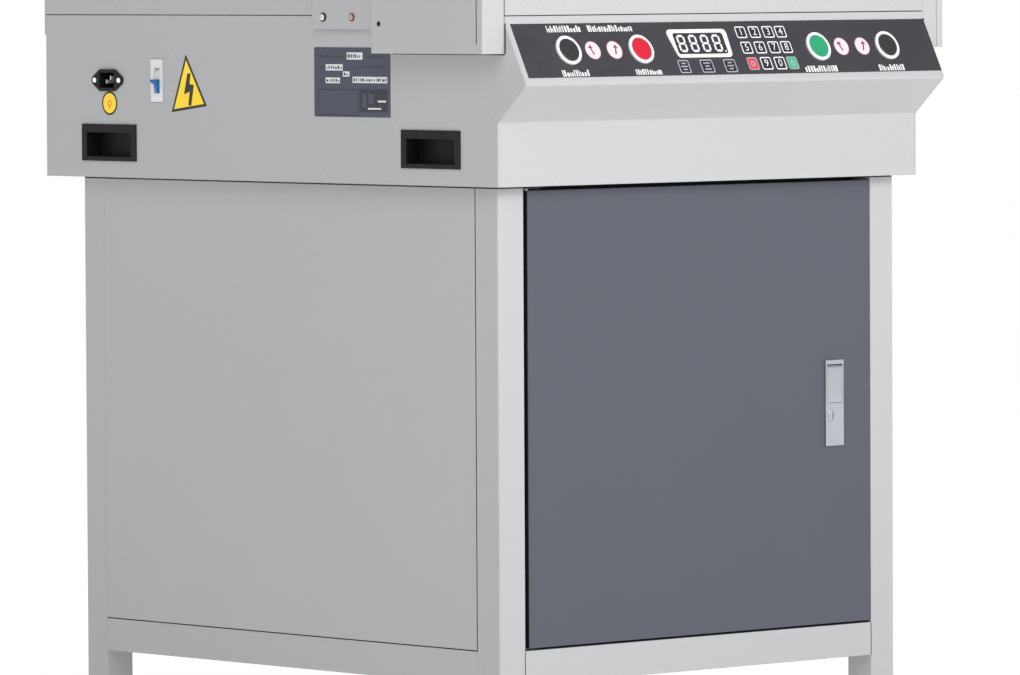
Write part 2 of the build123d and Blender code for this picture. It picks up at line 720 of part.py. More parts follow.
# ================================================================ covers above the table
# Head cover: a sheet hood over the crossbeam and the drives, open underneath.
with BuildPart() as head_cover:
    with BuildSketch(Plane.YZ):
        with BuildLine():
            Polyline(
                (head_front, head_bottom),
                (head_front, head_top - 75),
                (head_front + 50, head_top),
                (head_rear - 18, head_top),
                (head_rear, head_top - 18),
                (head_rear, rear_cover_top + 1),
                (frame_rear - 1.5, rear_cover_top + 1),
                (frame_rear - 1.5, head_bottom),
                close=True,
            )
        make_face()
        fillet(vertices().group_by(Axis.Y)[-1], 14)
        fillet(vertices().group_by(Axis.X)[0].sort_by(Axis.Y)[-1], 18)
    extrude(amount=case_half, both=True)
    open_faces = faces().filter_by(Axis.Z).group_by(Axis.Z)[:2]
    step_face = faces().filter_by(Axis.Y).sort_by(Axis.Y)[1]
    offset(amount=-sheet, openings=[*open_faces[0], *open_faces[1], step_face])
save(head_cover, "head_cover")


def wing(side):
    """A hollow side guard with a window towards the table for the light curtain."""
    outer_x, inner_x = side * wing_outer, side * case_half
    block(sorted((outer_x, inner_x)), (wing_front, wing_back), (wing_bottom, wing_top))
    fillet(edges().filter_by(Axis.Z), 1.5)
    core = sorted((side * (wing_outer - sheet), side * (case_half + sheet)))
    core_height = (wing_bottom + sheet, wing_top - sheet)
    block(core, (wing_front + sheet, wing_back - sheet), core_height, mode=Mode.SUBTRACT)
    window = sorted((side * (case_half - 1), side * (case_half + sheet + 1)))
    block(window, (curtain_front, curtain_rear), (curtain_low, curtain_high), mode=Mode.SUBTRACT)


with BuildPart() as wing_left:
    wing(-1)
    block((-wing_outer, -wing_outer + seam), (wing_front + 8.5, wing_front + 8.5 + seam),
          (wing_bottom + 10, wing_top - 10), mode=Mode.SUBTRACT)
save(wing_left, "wing_left")

with BuildPart() as wing_right:
    wing(1)
    block((case_half + 20, case_half + 20 + seam), (wing_front, wing_front + seam),
          (wing_bottom + 1, wing_top - 1), mode=Mode.SUBTRACT)
save(wing_right, "wing_right")

with BuildPart() as light_curtains:
    for side in (-1, 1):
        block(
            sorted((side * (case_half + 0.4), side * (case_half + 14))),
            (curtain_front + 0.1, curtain_rear - 0.1),
            (curtain_low + 0.1, curtain_high - 0.1),
        )
save(light_curtains, "light_curtains")

# Covers outside the side frames: a raised plate on a thin filler that reaches the wing.
with BuildPart() as frame_covers:
    for side in (-1, 1):
        filler = sorted((side * frame_outer, side * case_half))
        block(filler, (wing_back, frame_rear - 2), (table_top + 0.5, head_bottom - 0.5))
        hollow = sorted((side * frame_outer, side * (case_half - sheet)))
        hollow_height = (table_top + 0.5 + sheet, head_bottom - 0.5 - sheet)
        hollow_span = (wing_back + sheet, frame_rear - 2 - sheet)
        block(hollow, hollow_span, hollow_height, mode=Mode.SUBTRACT)
        plate = sorted((side * case_half, side * frame_cover_outer))
        block(plate, (wing_back, frame_rear - 2), (case_top - 13.5, head_bottom - 0.5))
save(frame_covers, "frame_covers")

# Rear cover: walls round the rear table, with an inward flange that the lid lies on.
with BuildPart() as rear_cover:
    wall_front = frame_rear - 1.5
    block((-case_half, case_half), (wall_front, rear_cover_back), (case_top + 0.8, rear_cover_top))
    block((-case_half, case_half), (case_back, rear_cover_back), (case_top - 21, case_top + 0.8))
    inner_half = case_half - sheet
    under_flange = (case_top, rear_cover_top - sheet)
    flange = (rear_cover_top - sheet, rear_cover_top)
    block((-inner_half, inner_half), (wall_front, case_back), under_flange, mode=Mode.SUBTRACT)
    lid_hole = case_half - 14
    block((-lid_hole, lid_hole), (wall_front, case_back - 12), flange, mode=Mode.SUBTRACT)
    block((-case_half, case_half), (wall_front, head_rear + 1), flange, mode=Mode.SUBTRACT)
save(rear_cover, "rear_cover")

# Lid of clear plastic over the rear table, hinged beside the head cover.
with BuildPart() as rear_lid:
    block((-lid_half, lid_half), (-4, case_back - 3), (lid_bottom, lid_bottom + lid_thickness))
    for side in (-1, 1):
        ear = sorted((side * 230, side * 250))
        block(ear, (lid_hinge_y, 8), (lid_bottom, lid_hinge_z))
        rod((ear[0], lid_hinge_y, lid_hinge_z), (1, 0, 0), 5.5, 20)
        block(ear, (lid_hinge_y - 6, lid_hinge_y), (lid_bottom - 1, lid_hinge_z - 5.4), mode=Mode.SUBTRACT)
    rod((-300, lid_hinge_y, lid_hinge_z), (1, 0, 0), pivot_radius + fit, 600, mode=Mode.SUBTRACT)
save(rear_lid, "rear_lid")

# ================================================================ hinge pins
with BuildPart() as hinge_pins:
    # Lid: a block on the head cover's back and a pin into each ear.
    for side in (-1, 1):
        lug = sorted((side * 251, side * 262))
        block(lug, (head_rear, lid_hinge_y + 5), (lid_hinge_z - 5, lid_hinge_z + 6))
        start = 230 if side > 0 else -251
        rod((start, lid_hinge_y, lid_hinge_z), (1, 0, 0), pivot_radius, 21)
    # Door: a pin that stands on the lower rail and a pin that hangs from a bracket.
    rod((pivot_x, pivot_y, rail_top), (0, 0, 1), 2 * pivot_radius, door_bottom - rail_top - 0.4)
    rod((pivot_x, pivot_y, rail_top), (0, 0, 1), pivot_radius, 14)
    block((-bay_half, -220), (pivot_y - 6, stand_front + door_depth + 4), (case_bottom - 3, case_bottom))
    rod((pivot_x, pivot_y, case_bottom), (0, 0, -1), pivot_radius, 16)
save(hinge_pins, "hinge_pins")

# ================================================================ door and lock
with BuildPart() as door_panel:
    door_back = stand_front + door_depth
    block((door_left, door_right), (stand_front, door_back), (door_bottom, door_top))
    fillet(edges().filter_by(Axis.Z).group_by(Axis.Y)[0], door_fold)
    block(
        (door_left + door_sheet, door_right - door_sheet),
        (stand_front + door_sheet, door_back),
        (door_bottom + door_sheet, door_top - door_sheet),
        mode=Mode.SUBTRACT,
    )
    block((lock_x - 12, lock_x + 12), (stand_front, stand_front + 3), (345, 426), mode=Mode.SUBTRACT)
    rod((pivot_x, pivot_y, door_bottom - 1), (0, 0, 1), pivot_radius + fit, 480, mode=Mode.SUBTRACT)
save(door_panel, "door_panel")

lock_face = stand_front - lock_proud
with BuildPart() as lock_plate:
    block((lock_x - lock_half, lock_x + lock_half), (lock_face, stand_front), (lock_bottom, lock_top))
    block((lock_x - 11.9, lock_x + 11.9), (stand_front, -303), (345.1, 425.9))
    pocket_width = (lock_x - lever_half - gap, lock_x + lever_half + gap)
    block(pocket_width, (lock_face, -309), (lever_bottom, lever_top + 0.5), mode=Mode.SUBTRACT)
    rod((key_x, lock_face, key_z), (0, 1, 0), key_radius + fit, 30, mode=Mode.SUBTRACT)
    rod((lock_x - 11.9, lever_pin_y, lever_pin_z), (1, 0, 0), 1, 23.8)
save(lock_plate, "lock_plate")

# Lift-out handle, hung on a pin at its top.
with BuildPart() as lock_handle:
    block(
        (lock_x - lever_half, lock_x + lever_half),
        (lock_face, lock_face + lever_thickness),
        (lever_bottom + 0.4, lever_pin_z),
    )
    rod((lock_x - lever_half, lever_pin_y, lever_pin_z), (1, 0, 0), lever_thickness / 2, 2 * lever_half)
    rod((lock_x - 12, lever_pin_y, lever_pin_z), (1, 0, 0), 1 + fit, 24, mode=Mode.SUBTRACT)
save(lock_handle, "lock_handle")

# Key cylinder and, behind the door, the cam that it turns behind the post.
with BuildPart() as lock_cylinder:
    rod((key_x, lock_face - 0.8, key_z), (0, 1, 0), key_radius, 19.5)
    rod((key_x, -304, key_z), (0, 1, 0), 5, 22)
    block((key_x - 8, key_x + 8), (-284.5, -282), (key_z - 66, key_z + 8))
    keyway = (key_x - 0.8, key_x + 0.8)
    block(keyway, (lock_face - 1, lock_face + 1.5), (key_z - 4, key_z + 4), mode=Mode.SUBTRACT)
save(lock_cylinder, "lock_cylinder")
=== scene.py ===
import math
import random

import bmesh
import bpy
from mathutils import Matrix, Vector


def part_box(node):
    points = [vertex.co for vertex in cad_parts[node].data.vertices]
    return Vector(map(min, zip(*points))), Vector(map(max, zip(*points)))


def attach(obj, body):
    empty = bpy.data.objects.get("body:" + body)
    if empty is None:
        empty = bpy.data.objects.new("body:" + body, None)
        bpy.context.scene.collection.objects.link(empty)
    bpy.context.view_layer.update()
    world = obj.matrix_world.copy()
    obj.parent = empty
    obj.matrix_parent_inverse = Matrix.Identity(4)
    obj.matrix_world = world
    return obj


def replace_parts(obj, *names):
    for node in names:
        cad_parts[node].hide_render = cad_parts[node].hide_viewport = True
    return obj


# The looks of an electric guillotine paper cutter on a cabinet stand. Metres, in the row frame:
# +X is the operator's right, +Y the machine's back, +Z up, and the floor is at z 0.

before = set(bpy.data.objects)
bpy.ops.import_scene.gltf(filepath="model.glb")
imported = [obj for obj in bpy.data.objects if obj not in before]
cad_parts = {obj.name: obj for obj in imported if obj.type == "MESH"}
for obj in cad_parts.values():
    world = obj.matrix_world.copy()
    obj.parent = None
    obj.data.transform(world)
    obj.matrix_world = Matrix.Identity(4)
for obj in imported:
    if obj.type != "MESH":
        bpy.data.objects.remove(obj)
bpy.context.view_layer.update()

MM = 0.001
MACHINE = "machine"
FRONT = -337.0                        # mm, the plane of the case's chin


def low(node, axis):
    """A CAD node's lowest place along an axis, 0 to 2."""
    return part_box(node)[0][axis]


def high(node, axis):
    """A CAD node's highest place along an axis, 0 to 2."""
    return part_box(node)[1][axis]


# ================================================================ places that pieces are set on
def facing(normal, up, origin):
    """A frame on a surface: u to the right as seen from outside, v along up, w outwards."""
    outward, upward = Vector(normal).normalized(), Vector(up).normalized()
    right = upward.cross(outward)
    axes = Matrix((right, upward, outward)).transposed().to_4x4()
    return Matrix.Translation(Vector(origin)) @ axes


def left_side(x):
    """A frame on a face that looks to -X. Its u is -Y and its v is Z."""
    return facing((-1, 0, 0), (0, 0, 1), (x, 0, 0))


def right_side(x):
    """A frame on a face that looks to +X. Its u is Y and its v is Z."""
    return facing((1, 0, 0), (0, 0, 1), (x, 0, 0))


def front_side(y):
    """A frame on a face that looks to the operator. Its u is X and its v is Z."""
    return facing((0, -1, 0), (0, 0, 1), (0, y, 0))


def back_side(y):
    """A frame on a face that looks to the back. Its u is -X and its v is Z."""
    return facing((0, 1, 0), (0, 0, 1), (0, y, 0))


def top_side(z):
    """A frame on a face that looks up. Its u is X and its v is Y."""
    return facing((0, 0, 1), (0, 1, 0), (0, 0, z))


def panel_frame():
    """A frame on the control panel's skin: u is X, v runs up the slope from the brow's fold."""
    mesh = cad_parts["control_overlay"].data
    slope = max((p for p in mesh.polygons if p.normal.z > 0.1), key=lambda p: p.area)
    flat = [p for p in mesh.polygons if p.normal.dot(slope.normal) > 0.999]
    skin = [mesh.vertices[i].co for p in flat for i in p.vertices]
    upper = max(skin, key=lambda co: co.z)
    overlay_top = 0.4 * MM
    up = slope.normal.cross(Vector((1, 0, 0))) * -1
    if up.z < 0:
        up = -up
    return facing(slope.normal, up, Vector((0, upper.y, upper.z)) + up * overlay_top)


# ================================================================ materials
class Surface:
    """The node tree of one material, kept under its slot's name in the record."""

    def __init__(self, name, colour, roughness, metallic=0.0):
        self.material = bpy.data.materials.get(name) or bpy.data.materials.new(name)
        self.material.use_nodes = True
        self.tree = self.material.node_tree
        self.tree.nodes.clear()
        self.colour = colour
        self.shader = self.add("ShaderNodeBsdfPrincipled")
        output = self.add("ShaderNodeOutputMaterial")
        self.link(self.shader.outputs["BSDF"], output.inputs["Surface"])
        self.shader.inputs["Base Color"].default_value = (*colour, 1)
        self.shader.inputs["Roughness"].default_value = roughness
        self.shader.inputs["Metallic"].default_value = metallic
        self.place = self.add("ShaderNodeTexCoord").outputs["Object"]
        self.normal = None

    def add(self, kind):
        return self.tree.nodes.new(kind)

    def link(self, output, place):
        self.tree.links.new(output, place)

    def set(self, **values):
        """Set sockets of the shader, written with underscores for spaces."""
        for name, value in values.items():
            self.shader.inputs[name.replace("_", " ")].default_value = value
        return self

    def noise(self, scale, detail=3.0, stretch=(1, 1, 1)):
        """A noise of that many features a metre, stretched along the axes whose factor is below 1."""
        mapping, texture = self.add("ShaderNodeMapping"), self.add("ShaderNodeTexNoise")
        mapping.inputs["Scale"].default_value = stretch
        texture.inputs["Scale"].default_value = scale
        texture.inputs["Detail"].default_value = detail
        self.link(self.place, mapping.inputs["Vector"])
        self.link(mapping.outputs["Vector"], texture.inputs["Vector"])
        return texture.outputs["Fac"]

    def ranged(self, value, low_value, high_value, start=0.3, end=0.7):
        """A texture's value, spread from start..end to low_value..high_value."""
        spread = self.add("ShaderNodeMapRange")
        spread.inputs["From Min"].default_value = start
        spread.inputs["From Max"].default_value = end
        spread.inputs["To Min"].default_value = low_value
        spread.inputs["To Max"].default_value = high_value
        self.link(value, spread.inputs["Value"])
        return spread.outputs["Result"]

    def mottle(self, scale, other, amount=1.0, **options):
        """The base colour drifts to another colour in patches."""
        mix = self.add("ShaderNodeMix")
        mix.data_type = "RGBA"
        colours = [place for place in mix.inputs if place.type == "RGBA"]
        result = next(place for place in mix.outputs if place.type == "RGBA")
        before = self.shader.inputs["Base Color"]
        if before.is_linked:
            self.link(before.links[0].from_socket, colours[0])
        else:
            colours[0].default_value = (*self.colour, 1)
        colours[1].default_value = (*other, 1)
        self.link(self.ranged(self.noise(scale, **options), 0.0, amount), mix.inputs[0])
        self.link(result, before)
        return self

    def uneven(self, scale, smooth, rough, **options):
        """The roughness drifts between two values."""
        self.link(self.ranged(self.noise(scale, **options), smooth, rough), self.shader.inputs["Roughness"])
        return self

    def relief(self, height, depth):
        """Small heights that light catches, in metres."""
        bump = self.add("ShaderNodeBump")
        bump.inputs["Distance"].default_value = depth
        self.link(height, bump.inputs["Height"])
        if self.normal is not None:
            self.link(self.normal, bump.inputs["Normal"])
        self.normal = bump.outputs["Normal"]
        self.link(self.normal, self.shader.inputs["Normal"])
        return self

    def soft_edges(self, radius):
        """Edges catch the light as if rounded by radius."""
        bevel = self.add("ShaderNodeBevel")
        bevel.samples = 4
        bevel.inputs["Radius"].default_value = radius
        self.normal = bevel.outputs["Normal"]
        self.link(self.normal, self.shader.inputs["Normal"])
        return self


def shade(colour, factor):
    """A colour made lighter or darker."""
    return tuple(min(1.0, c * factor) for c in colour)


def powder_coat(name, colour, roughness):
    """Sprayed and baked paint: an orange-peel skin, faint clouds and a few duller patches."""
    made = Surface(name, colour, roughness).soft_edges(1.0 * MM)
    made.mottle(2.2, shade(colour, 0.965), detail=4.0)
    made.mottle(420, shade(colour, 1.035), amount=0.8, detail=2.0)
    made.uneven(9, roughness - 0.05, roughness + 0.07)
    made.relief(made.noise(750, detail=2.0), 0.05 * MM)
    return made


def plastic(name, colour, roughness, grain=900, depth=0.03, edges=0.5):
    """Moulded plastic with a fine grain."""
    made = Surface(name, colour, roughness).soft_edges(edges * MM)
    made.mottle(35, shade(colour, 0.93), detail=4.0)
    made.uneven(60, roughness - 0.06, roughness + 0.08)
    made.relief(made.noise(grain, detail=1.0), depth * MM)
    return made


def brushed(name, colour, roughness, along, scale=900, depth=0.02, metallic=1.0):
    """Metal with fine lines that run along an axis, 0 to 2, and a few deeper scratches."""
    stretch = [1.0, 1.0, 1.0]
    stretch[along] = 0.02
    made = Surface(name, colour, roughness, metallic).soft_edges(0.4 * MM)
    made.mottle(12, shade(colour, 0.86), detail=5.0)
    made.uneven(scale, roughness - 0.08, roughness + 0.12, stretch=stretch)
    made.relief(made.noise(scale, detail=3.0, stretch=stretch), depth * MM)
    return made


def motor_paint():
    made = powder_coat("motor_paint", (0.045, 0.047, 0.052), 0.38)
    made.mottle(18, (0.11, 0.10, 0.09), amount=0.35, detail=6.0)


def frame_iron():
    """Painted casting: a coarse skin under the paint."""
    made = powder_coat("frame_iron", (0.50, 0.51, 0.515), 0.50)
    made.relief(made.noise(120, detail=6.0), 0.12 * MM)


def table_iron():
    """Ground iron: long grinding lines, faint stains."""
    made = brushed("table_iron", (0.56, 0.565, 0.57), 0.34, along=0, scale=1400)
    made.mottle(5, (0.44, 0.44, 0.43), amount=0.5, detail=7.0)


def black_plastic():
    made = plastic("black_plastic", (0.009, 0.009, 0.011), 0.50, grain=1200, depth=0.05)
    made.set(Specular_IOR_Level=0.3)


def panel_overlay():
    """A printed polyester membrane with a fine matt grain."""
    made = plastic("panel_overlay", (0.034, 0.033, 0.041), 0.42, grain=2200, depth=0.02)
    made.mottle(6, (0.045, 0.043, 0.052), amount=0.8, detail=2.0)


def display_glass():
    """A smoked window: glossy, with faint wiping marks."""
    made = Surface("display_glass", (0.020, 0.020, 0.026), 0.09).soft_edges(0.4 * MM)
    made.mottle(40, (0.032, 0.032, 0.040), detail=5.0)
    made.uneven(70, 0.06, 0.14, detail=6.0)
    made.set(Coat_Weight=0.6, Coat_Roughness=0.05)


def circuit_board():
    """Green lacquer over fine copper tracks."""
    made = Surface("circuit_board", (0.014, 0.13, 0.050), 0.32)
    made.mottle(260, (0.030, 0.20, 0.075), stretch=(1.0, 1.0, 0.15))
    made.relief(made.noise(400, stretch=(0.2, 1.0, 1.0)), 0.05 * MM)


def transformer_steel():
    """Varnished sheets in a stack."""
    made = Surface("transformer_steel", (0.10, 0.085, 0.070), 0.40, 0.6)
    made.mottle(30, (0.16, 0.12, 0.08), detail=5.0)
    made.relief(made.noise(1200, stretch=(0.02, 1.0, 0.02)), 0.1 * MM)


def stick_plastic():
    """Cutting stick: tough plastic, scuffed by sheets."""
    made = plastic("stick_plastic", (0.70, 0.055, 0.045), 0.42, grain=500, depth=0.05)
    made.mottle(300, (0.80, 0.24, 0.20), amount=0.5, stretch=(0.05, 1.0, 1.0))


def blade_steel():
    """Ground steel: lines that run up from the edge."""
    made = brushed("blade_steel", (0.70, 0.71, 0.72), 0.20, along=2, scale=1600, depth=0.01)
    made.mottle(8, (0.58, 0.59, 0.61), amount=0.6, detail=6.0)


def bronze():
    made = brushed("bronze", (0.62, 0.40, 0.18), 0.34, along=0, scale=900, depth=0.02)
    made.mottle(60, (0.42, 0.26, 0.12), amount=0.6, detail=6.0)


def curtain_acrylic():
    """Deep red window of the light curtain, with its row of sensors showing through."""
    made = Surface("curtain_acrylic", (0.040, 0.002, 0.006), 0.10)
    made.mottle(55, (0.10, 0.004, 0.010), stretch=(0.05, 0.05, 1.0))
    made.uneven(80, 0.07, 0.16, detail=5.0)
    made.set(Coat_Weight=0.5, Coat_Roughness=0.04)


def clear_plastic():
    """Clear acrylic sheet with fine wiping scratches."""
    made = Surface("clear_plastic", (0.93, 0.96, 0.97), 0.03)
    made.mottle(4, (0.90, 0.94, 0.95), detail=3.0)
    made.uneven(700, 0.02, 0.09, stretch=(0.03, 1.0, 1.0), detail=4.0)
    made.relief(made.noise(600, stretch=(0.03, 1.0, 1.0)), 0.004 * MM)
    made.set(Transmission_Weight=1.0, IOR=1.49)


def print_ink(name, colour, roughness=0.5):
    """Screen-printed ink: a little uneven in density, dull."""
    made = Surface(name, colour, roughness)
    made.mottle(500, shade(colour, 0.86), detail=3.0)
    made.uneven(300, roughness - 0.05, roughness + 0.1)
    made.relief(made.noise(1800, detail=1.0), 0.01 * MM)
    return made.material


def sticker(name, colour, roughness=0.30, glow=0.0):
    """Glossy vinyl label with slight waves. A glow is painted light: it makes a label or a screw brighter
    than the lamps light it.
    """
    made = Surface(name, colour, roughness)
    made.mottle(60, shade(colour, 0.94), detail=3.0)
    made.relief(made.noise(90, detail=1.0), 0.03 * MM)
    made.set(Coat_Weight=0.3, Coat_Roughness=0.12, Emission_Color=(*colour, 1), Emission_Strength=glow)
    return made.material


def lit_segment(name, colour):
    """The counter's digits, pale with a faint glow."""
    made = Surface(name, colour, 0.4)
    made.mottle(400, shade(colour, 0.9))
    made.set(Emission_Color=(*colour, 1), Emission_Strength=0.25)
    return made.material


PAINTS = (("grey_paint", (0.487, 0.491, 0.500), 0.46), ("door_paint", (0.081, 0.088, 0.111), 0.42),
          ("carrier_paint", (0.50, 0.51, 0.52), 0.45))
# each plastic's colour, roughness, grain, depth of the grain and softness of its edges
PLASTICS = (
    ("white_plastic", (0.86, 0.86, 0.87), 0.30, 1500, 0.015, 0.5),
    ("black_button", (0.030, 0.030, 0.036), 0.26, 700, 0.02, 0.8),
    ("red_plastic", (0.64, 0.009, 0.032), 0.28, 700, 0.02, 0.8),
    ("green_plastic", (0.021, 0.34, 0.155), 0.28, 700, 0.02, 0.8),
    ("blue_plastic", (0.006, 0.135, 0.42), 0.32, 900, 0.02, 0.5),
)
# each metal's colour, roughness, the axis and scale of its lines, their depth and how metallic it looks
METALS = (("bright_steel", (0.66, 0.66, 0.665), 0.28, 2, 1300, 0.015, 1.0),
          ("lock_chrome", (0.60, 0.63, 0.68), 0.33, 2, 1500, 0.012, 1.0),
          # brass_contact is lightened from brass nearly to white, a painted highlight on the contacts
          ("brass_contact", (0.93, 0.91, 0.86), 0.30, 0, 1500, 0.01, 0.5))
for paint in PAINTS:
    powder_coat(*paint)
for moulded in PLASTICS:
    plastic(*moulded)
for metal in METALS:
    brushed(*metal)
for paint_a_slot in (
    motor_paint, frame_iron, table_iron, black_plastic, panel_overlay, display_glass, circuit_board,
    transformer_steel, stick_plastic, blade_steel, bronze, curtain_acrylic, clear_plastic,
):
    paint_a_slot()

WHITE_INK = print_ink("white_ink", (0.84, 0.85, 0.87))
DARK_INK = print_ink("dark_ink", (0.016, 0.015, 0.020))
GREY_INK = print_ink("grey_ink", (0.42, 0.42, 0.47))
RED_INK = print_ink("red_ink", (0.36, 0.018, 0.060))
ORANGE_INK = print_ink("orange_ink", (0.72, 0.25, 0.02))
PINK_LABEL = sticker("pink_label", (0.92, 0.74, 0.79))
# the yellow label's glow is painted light that brightens its yellow
YELLOW_LABEL = sticker("yellow_label", (0.98, 0.68, 0.006), glow=0.16)
BLACK_LABEL = sticker("black_label", (0.010, 0.009, 0.009))
PLATE_BLUE = sticker("plate_blue", (0.055, 0.062, 0.098), 0.38)
PLATE_DARK = sticker("plate_dark", (0.020, 0.022, 0.034), 0.38)
DIGIT_LIGHT = lit_segment("digit_light", (0.66, 0.67, 0.70))
RED_KEY = print_ink("red_key", (0.74, 0.055, 0.10), 0.4)
GREEN_KEY = print_ink("green_key", (0.06, 0.47, 0.26), 0.4)


# ================================================================ making pieces
def piece(name, mesh, material, body, slot=None):
    """A new object that rides on a body. Its material may be a slot's name, whose material it then takes."""
    made = bpy.data.objects.new(name, mesh)
    bpy.context.scene.collection.objects.link(made)
    if isinstance(material, str):
        slot, material = material, bpy.data.materials[material]
    made.data.materials.clear()
    made.data.materials.append(material)
    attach(made, body)
    return made


def circle(u, v, radius, count=40):
    """A round outline."""
    turns = [math.tau * i / count for i in range(count)]
    return [(u + radius * math.cos(t), v + radius * math.sin(t)) for t in turns]


def rectangle(u0, u1, v0, v1, radius=0.0, count=5):
    """A rectangular outline, with rounded corners if a radius is given."""
    if radius <= 0:
        return [(u0, v0), (u1, v0), (u1, v1), (u0, v1)]
    points = []
    corners = ((u1 - radius, v0 + radius, -90), (u1 - radius, v1 - radius, 0),
               (u0 + radius, v1 - radius, 90), (u0 + radius, v0 + radius, 180))
    for u, v, start in corners:
        for i in range(count + 1):
            turn = math.radians(start + 90 * i / count)
            points.append((u + radius * math.cos(turn), v + radius * math.sin(turn)))
    return points


def rounded(corners, radius, count=5):
    """An outline with rounded corners through points in turn, anticlockwise."""
    points = []
    for before, corner, after in zip(corners[-1:] + corners[:-1], corners, corners[1:] + corners[:1]):
        here = Vector(corner)
        back, ahead = (Vector(before) - here).normalized(), (Vector(after) - here).normalized()
        reach = radius / math.tan(back.angle(ahead) / 2)
        start, end = here + back * reach, here + ahead * reach
        for i in range(count + 1):
            t = i / count
            points.append(tuple(start * (1 - t) ** 2 + here * 2 * t * (1 - t) + end * t ** 2))
    return points


def flat_shape(name, outlines, place, height, material, body=MACHINE, slot=None, soften=0.0, lift=0.0):
    """A plate of that height on a place. An outline inside another is a hole. Outlines are in mm."""
    curve = bpy.data.curves.new(name, "CURVE")
    curve.dimensions, curve.fill_mode = "2D", "BOTH"
    curve.extrude, curve.bevel_depth = height / 2 - soften, soften
    curve.offset, curve.bevel_resolution = -soften, 2
    for outline in outlines:
        spline = curve.splines.new("POLY")
        spline.points.add(len(outline) - 1)
        spline.use_cyclic_u = True
        for point, (u, v) in zip(spline.points, outline):
            point.co = (u * MM, v * MM, 0, 1)
    drawn = bpy.data.objects.new(name, curve)
    mesh = bpy.data.meshes.new_from_object(drawn)
    bpy.data.objects.remove(drawn)
    bpy.data.curves.remove(curve)
    mesh.name = name
    mesh.transform(place @ Matrix.Translation((0, 0, lift + height / 2)))
    return piece(name, mesh, material, body, slot)


def digit_outlines(text, size):
    """The outlines of plain digits, centred on their own middle, as a mesh in mm."""
    curve = bpy.data.curves.new("digits", "FONT")
    curve.body, curve.size, curve.align_x, curve.align_y = text, size * MM, "CENTER", "CENTER"
    drawn = bpy.data.objects.new("digits", curve)
    mesh = bpy.data.meshes.new_from_object(drawn)
    bpy.data.objects.remove(drawn)
    bpy.data.curves.remove(curve)
    return mesh


def printed_digits(name, entries, place, height, material, lift, body=MACHINE, slot=None):
    """Digits printed at places: entries of (text, u, v, size) in mm."""
    joined = bmesh.new()
    for text, u, v, size in entries:
        mesh = digit_outlines(text, size)
        mesh.transform(place @ Matrix.Translation((u * MM, v * MM, lift + height)))
        joined.from_mesh(mesh)
        bpy.data.meshes.remove(mesh)
    bmesh.ops.remove_doubles(joined, verts=joined.verts, dist=0.5e-6)
    walls = bmesh.ops.extrude_face_region(joined, geom=joined.faces[:])
    inward = place.to_3x3() @ Vector((0, 0, -height))
    moved = [v for v in walls["geom"] if isinstance(v, bmesh.types.BMVert)]
    bmesh.ops.translate(joined, verts=moved, vec=inward)
    bmesh.ops.recalc_face_normals(joined, faces=joined.faces)
    mesh = bpy.data.meshes.new(name)
    joined.to_mesh(mesh)
    joined.free()
    return piece(name, mesh, material, body, slot)


def turned(name, profile, places, material, body=MACHINE, slot=None, count=32):
    """A turned piece at each place: profile is (radius, height) points in mm, from the axis out."""
    joined = bmesh.new()
    for place in places:
        one = bmesh.new()
        rings = []
        for radius, height in profile:
            if radius <= 0:
                rings.append([one.verts.new((0, 0, height * MM))])
                continue
            turns = [math.tau * i / count for i in range(count)]
            rings.append([one.verts.new((radius * MM * math.cos(t), radius * MM * math.sin(t), height * MM))
                          for t in turns])
        for below, above in zip(rings, rings[1:]):
            for i in range(count):
                j = (i + 1) % count
                around = [below[i % len(below)], below[j % len(below)],
                          above[j % len(above)], above[i % len(above)]]
                corners = list(dict.fromkeys(around))
                if len(corners) > 2:
                    one.faces.new(corners)
        bmesh.ops.recalc_face_normals(one, faces=one.faces)
        bmesh.ops.transform(one, matrix=place, verts=one.verts)
        mesh = bpy.data.meshes.new("turned")
        one.to_mesh(mesh)
        one.free()
        joined.from_mesh(mesh)
        bpy.data.meshes.remove(mesh)
    mesh = bpy.data.meshes.new(name)
    joined.to_mesh(mesh)
    joined.free()
    made = piece(name, mesh, material, body, slot)
    made.data.shade_smooth()
    sharpen(made)
    return made


def sharpen(made, angle=35):
    """Edges that turn more than this angle stay crisp in a smooth-shaded piece."""
    drawn = bmesh.new()
    drawn.from_mesh(made.data)
    for edge in drawn.edges:
        if len(edge.link_faces) == 2 and edge.calc_face_angle(0) > math.radians(angle):
            edge.smooth = False
    drawn.to_mesh(made.data)
    drawn.free()
    return made


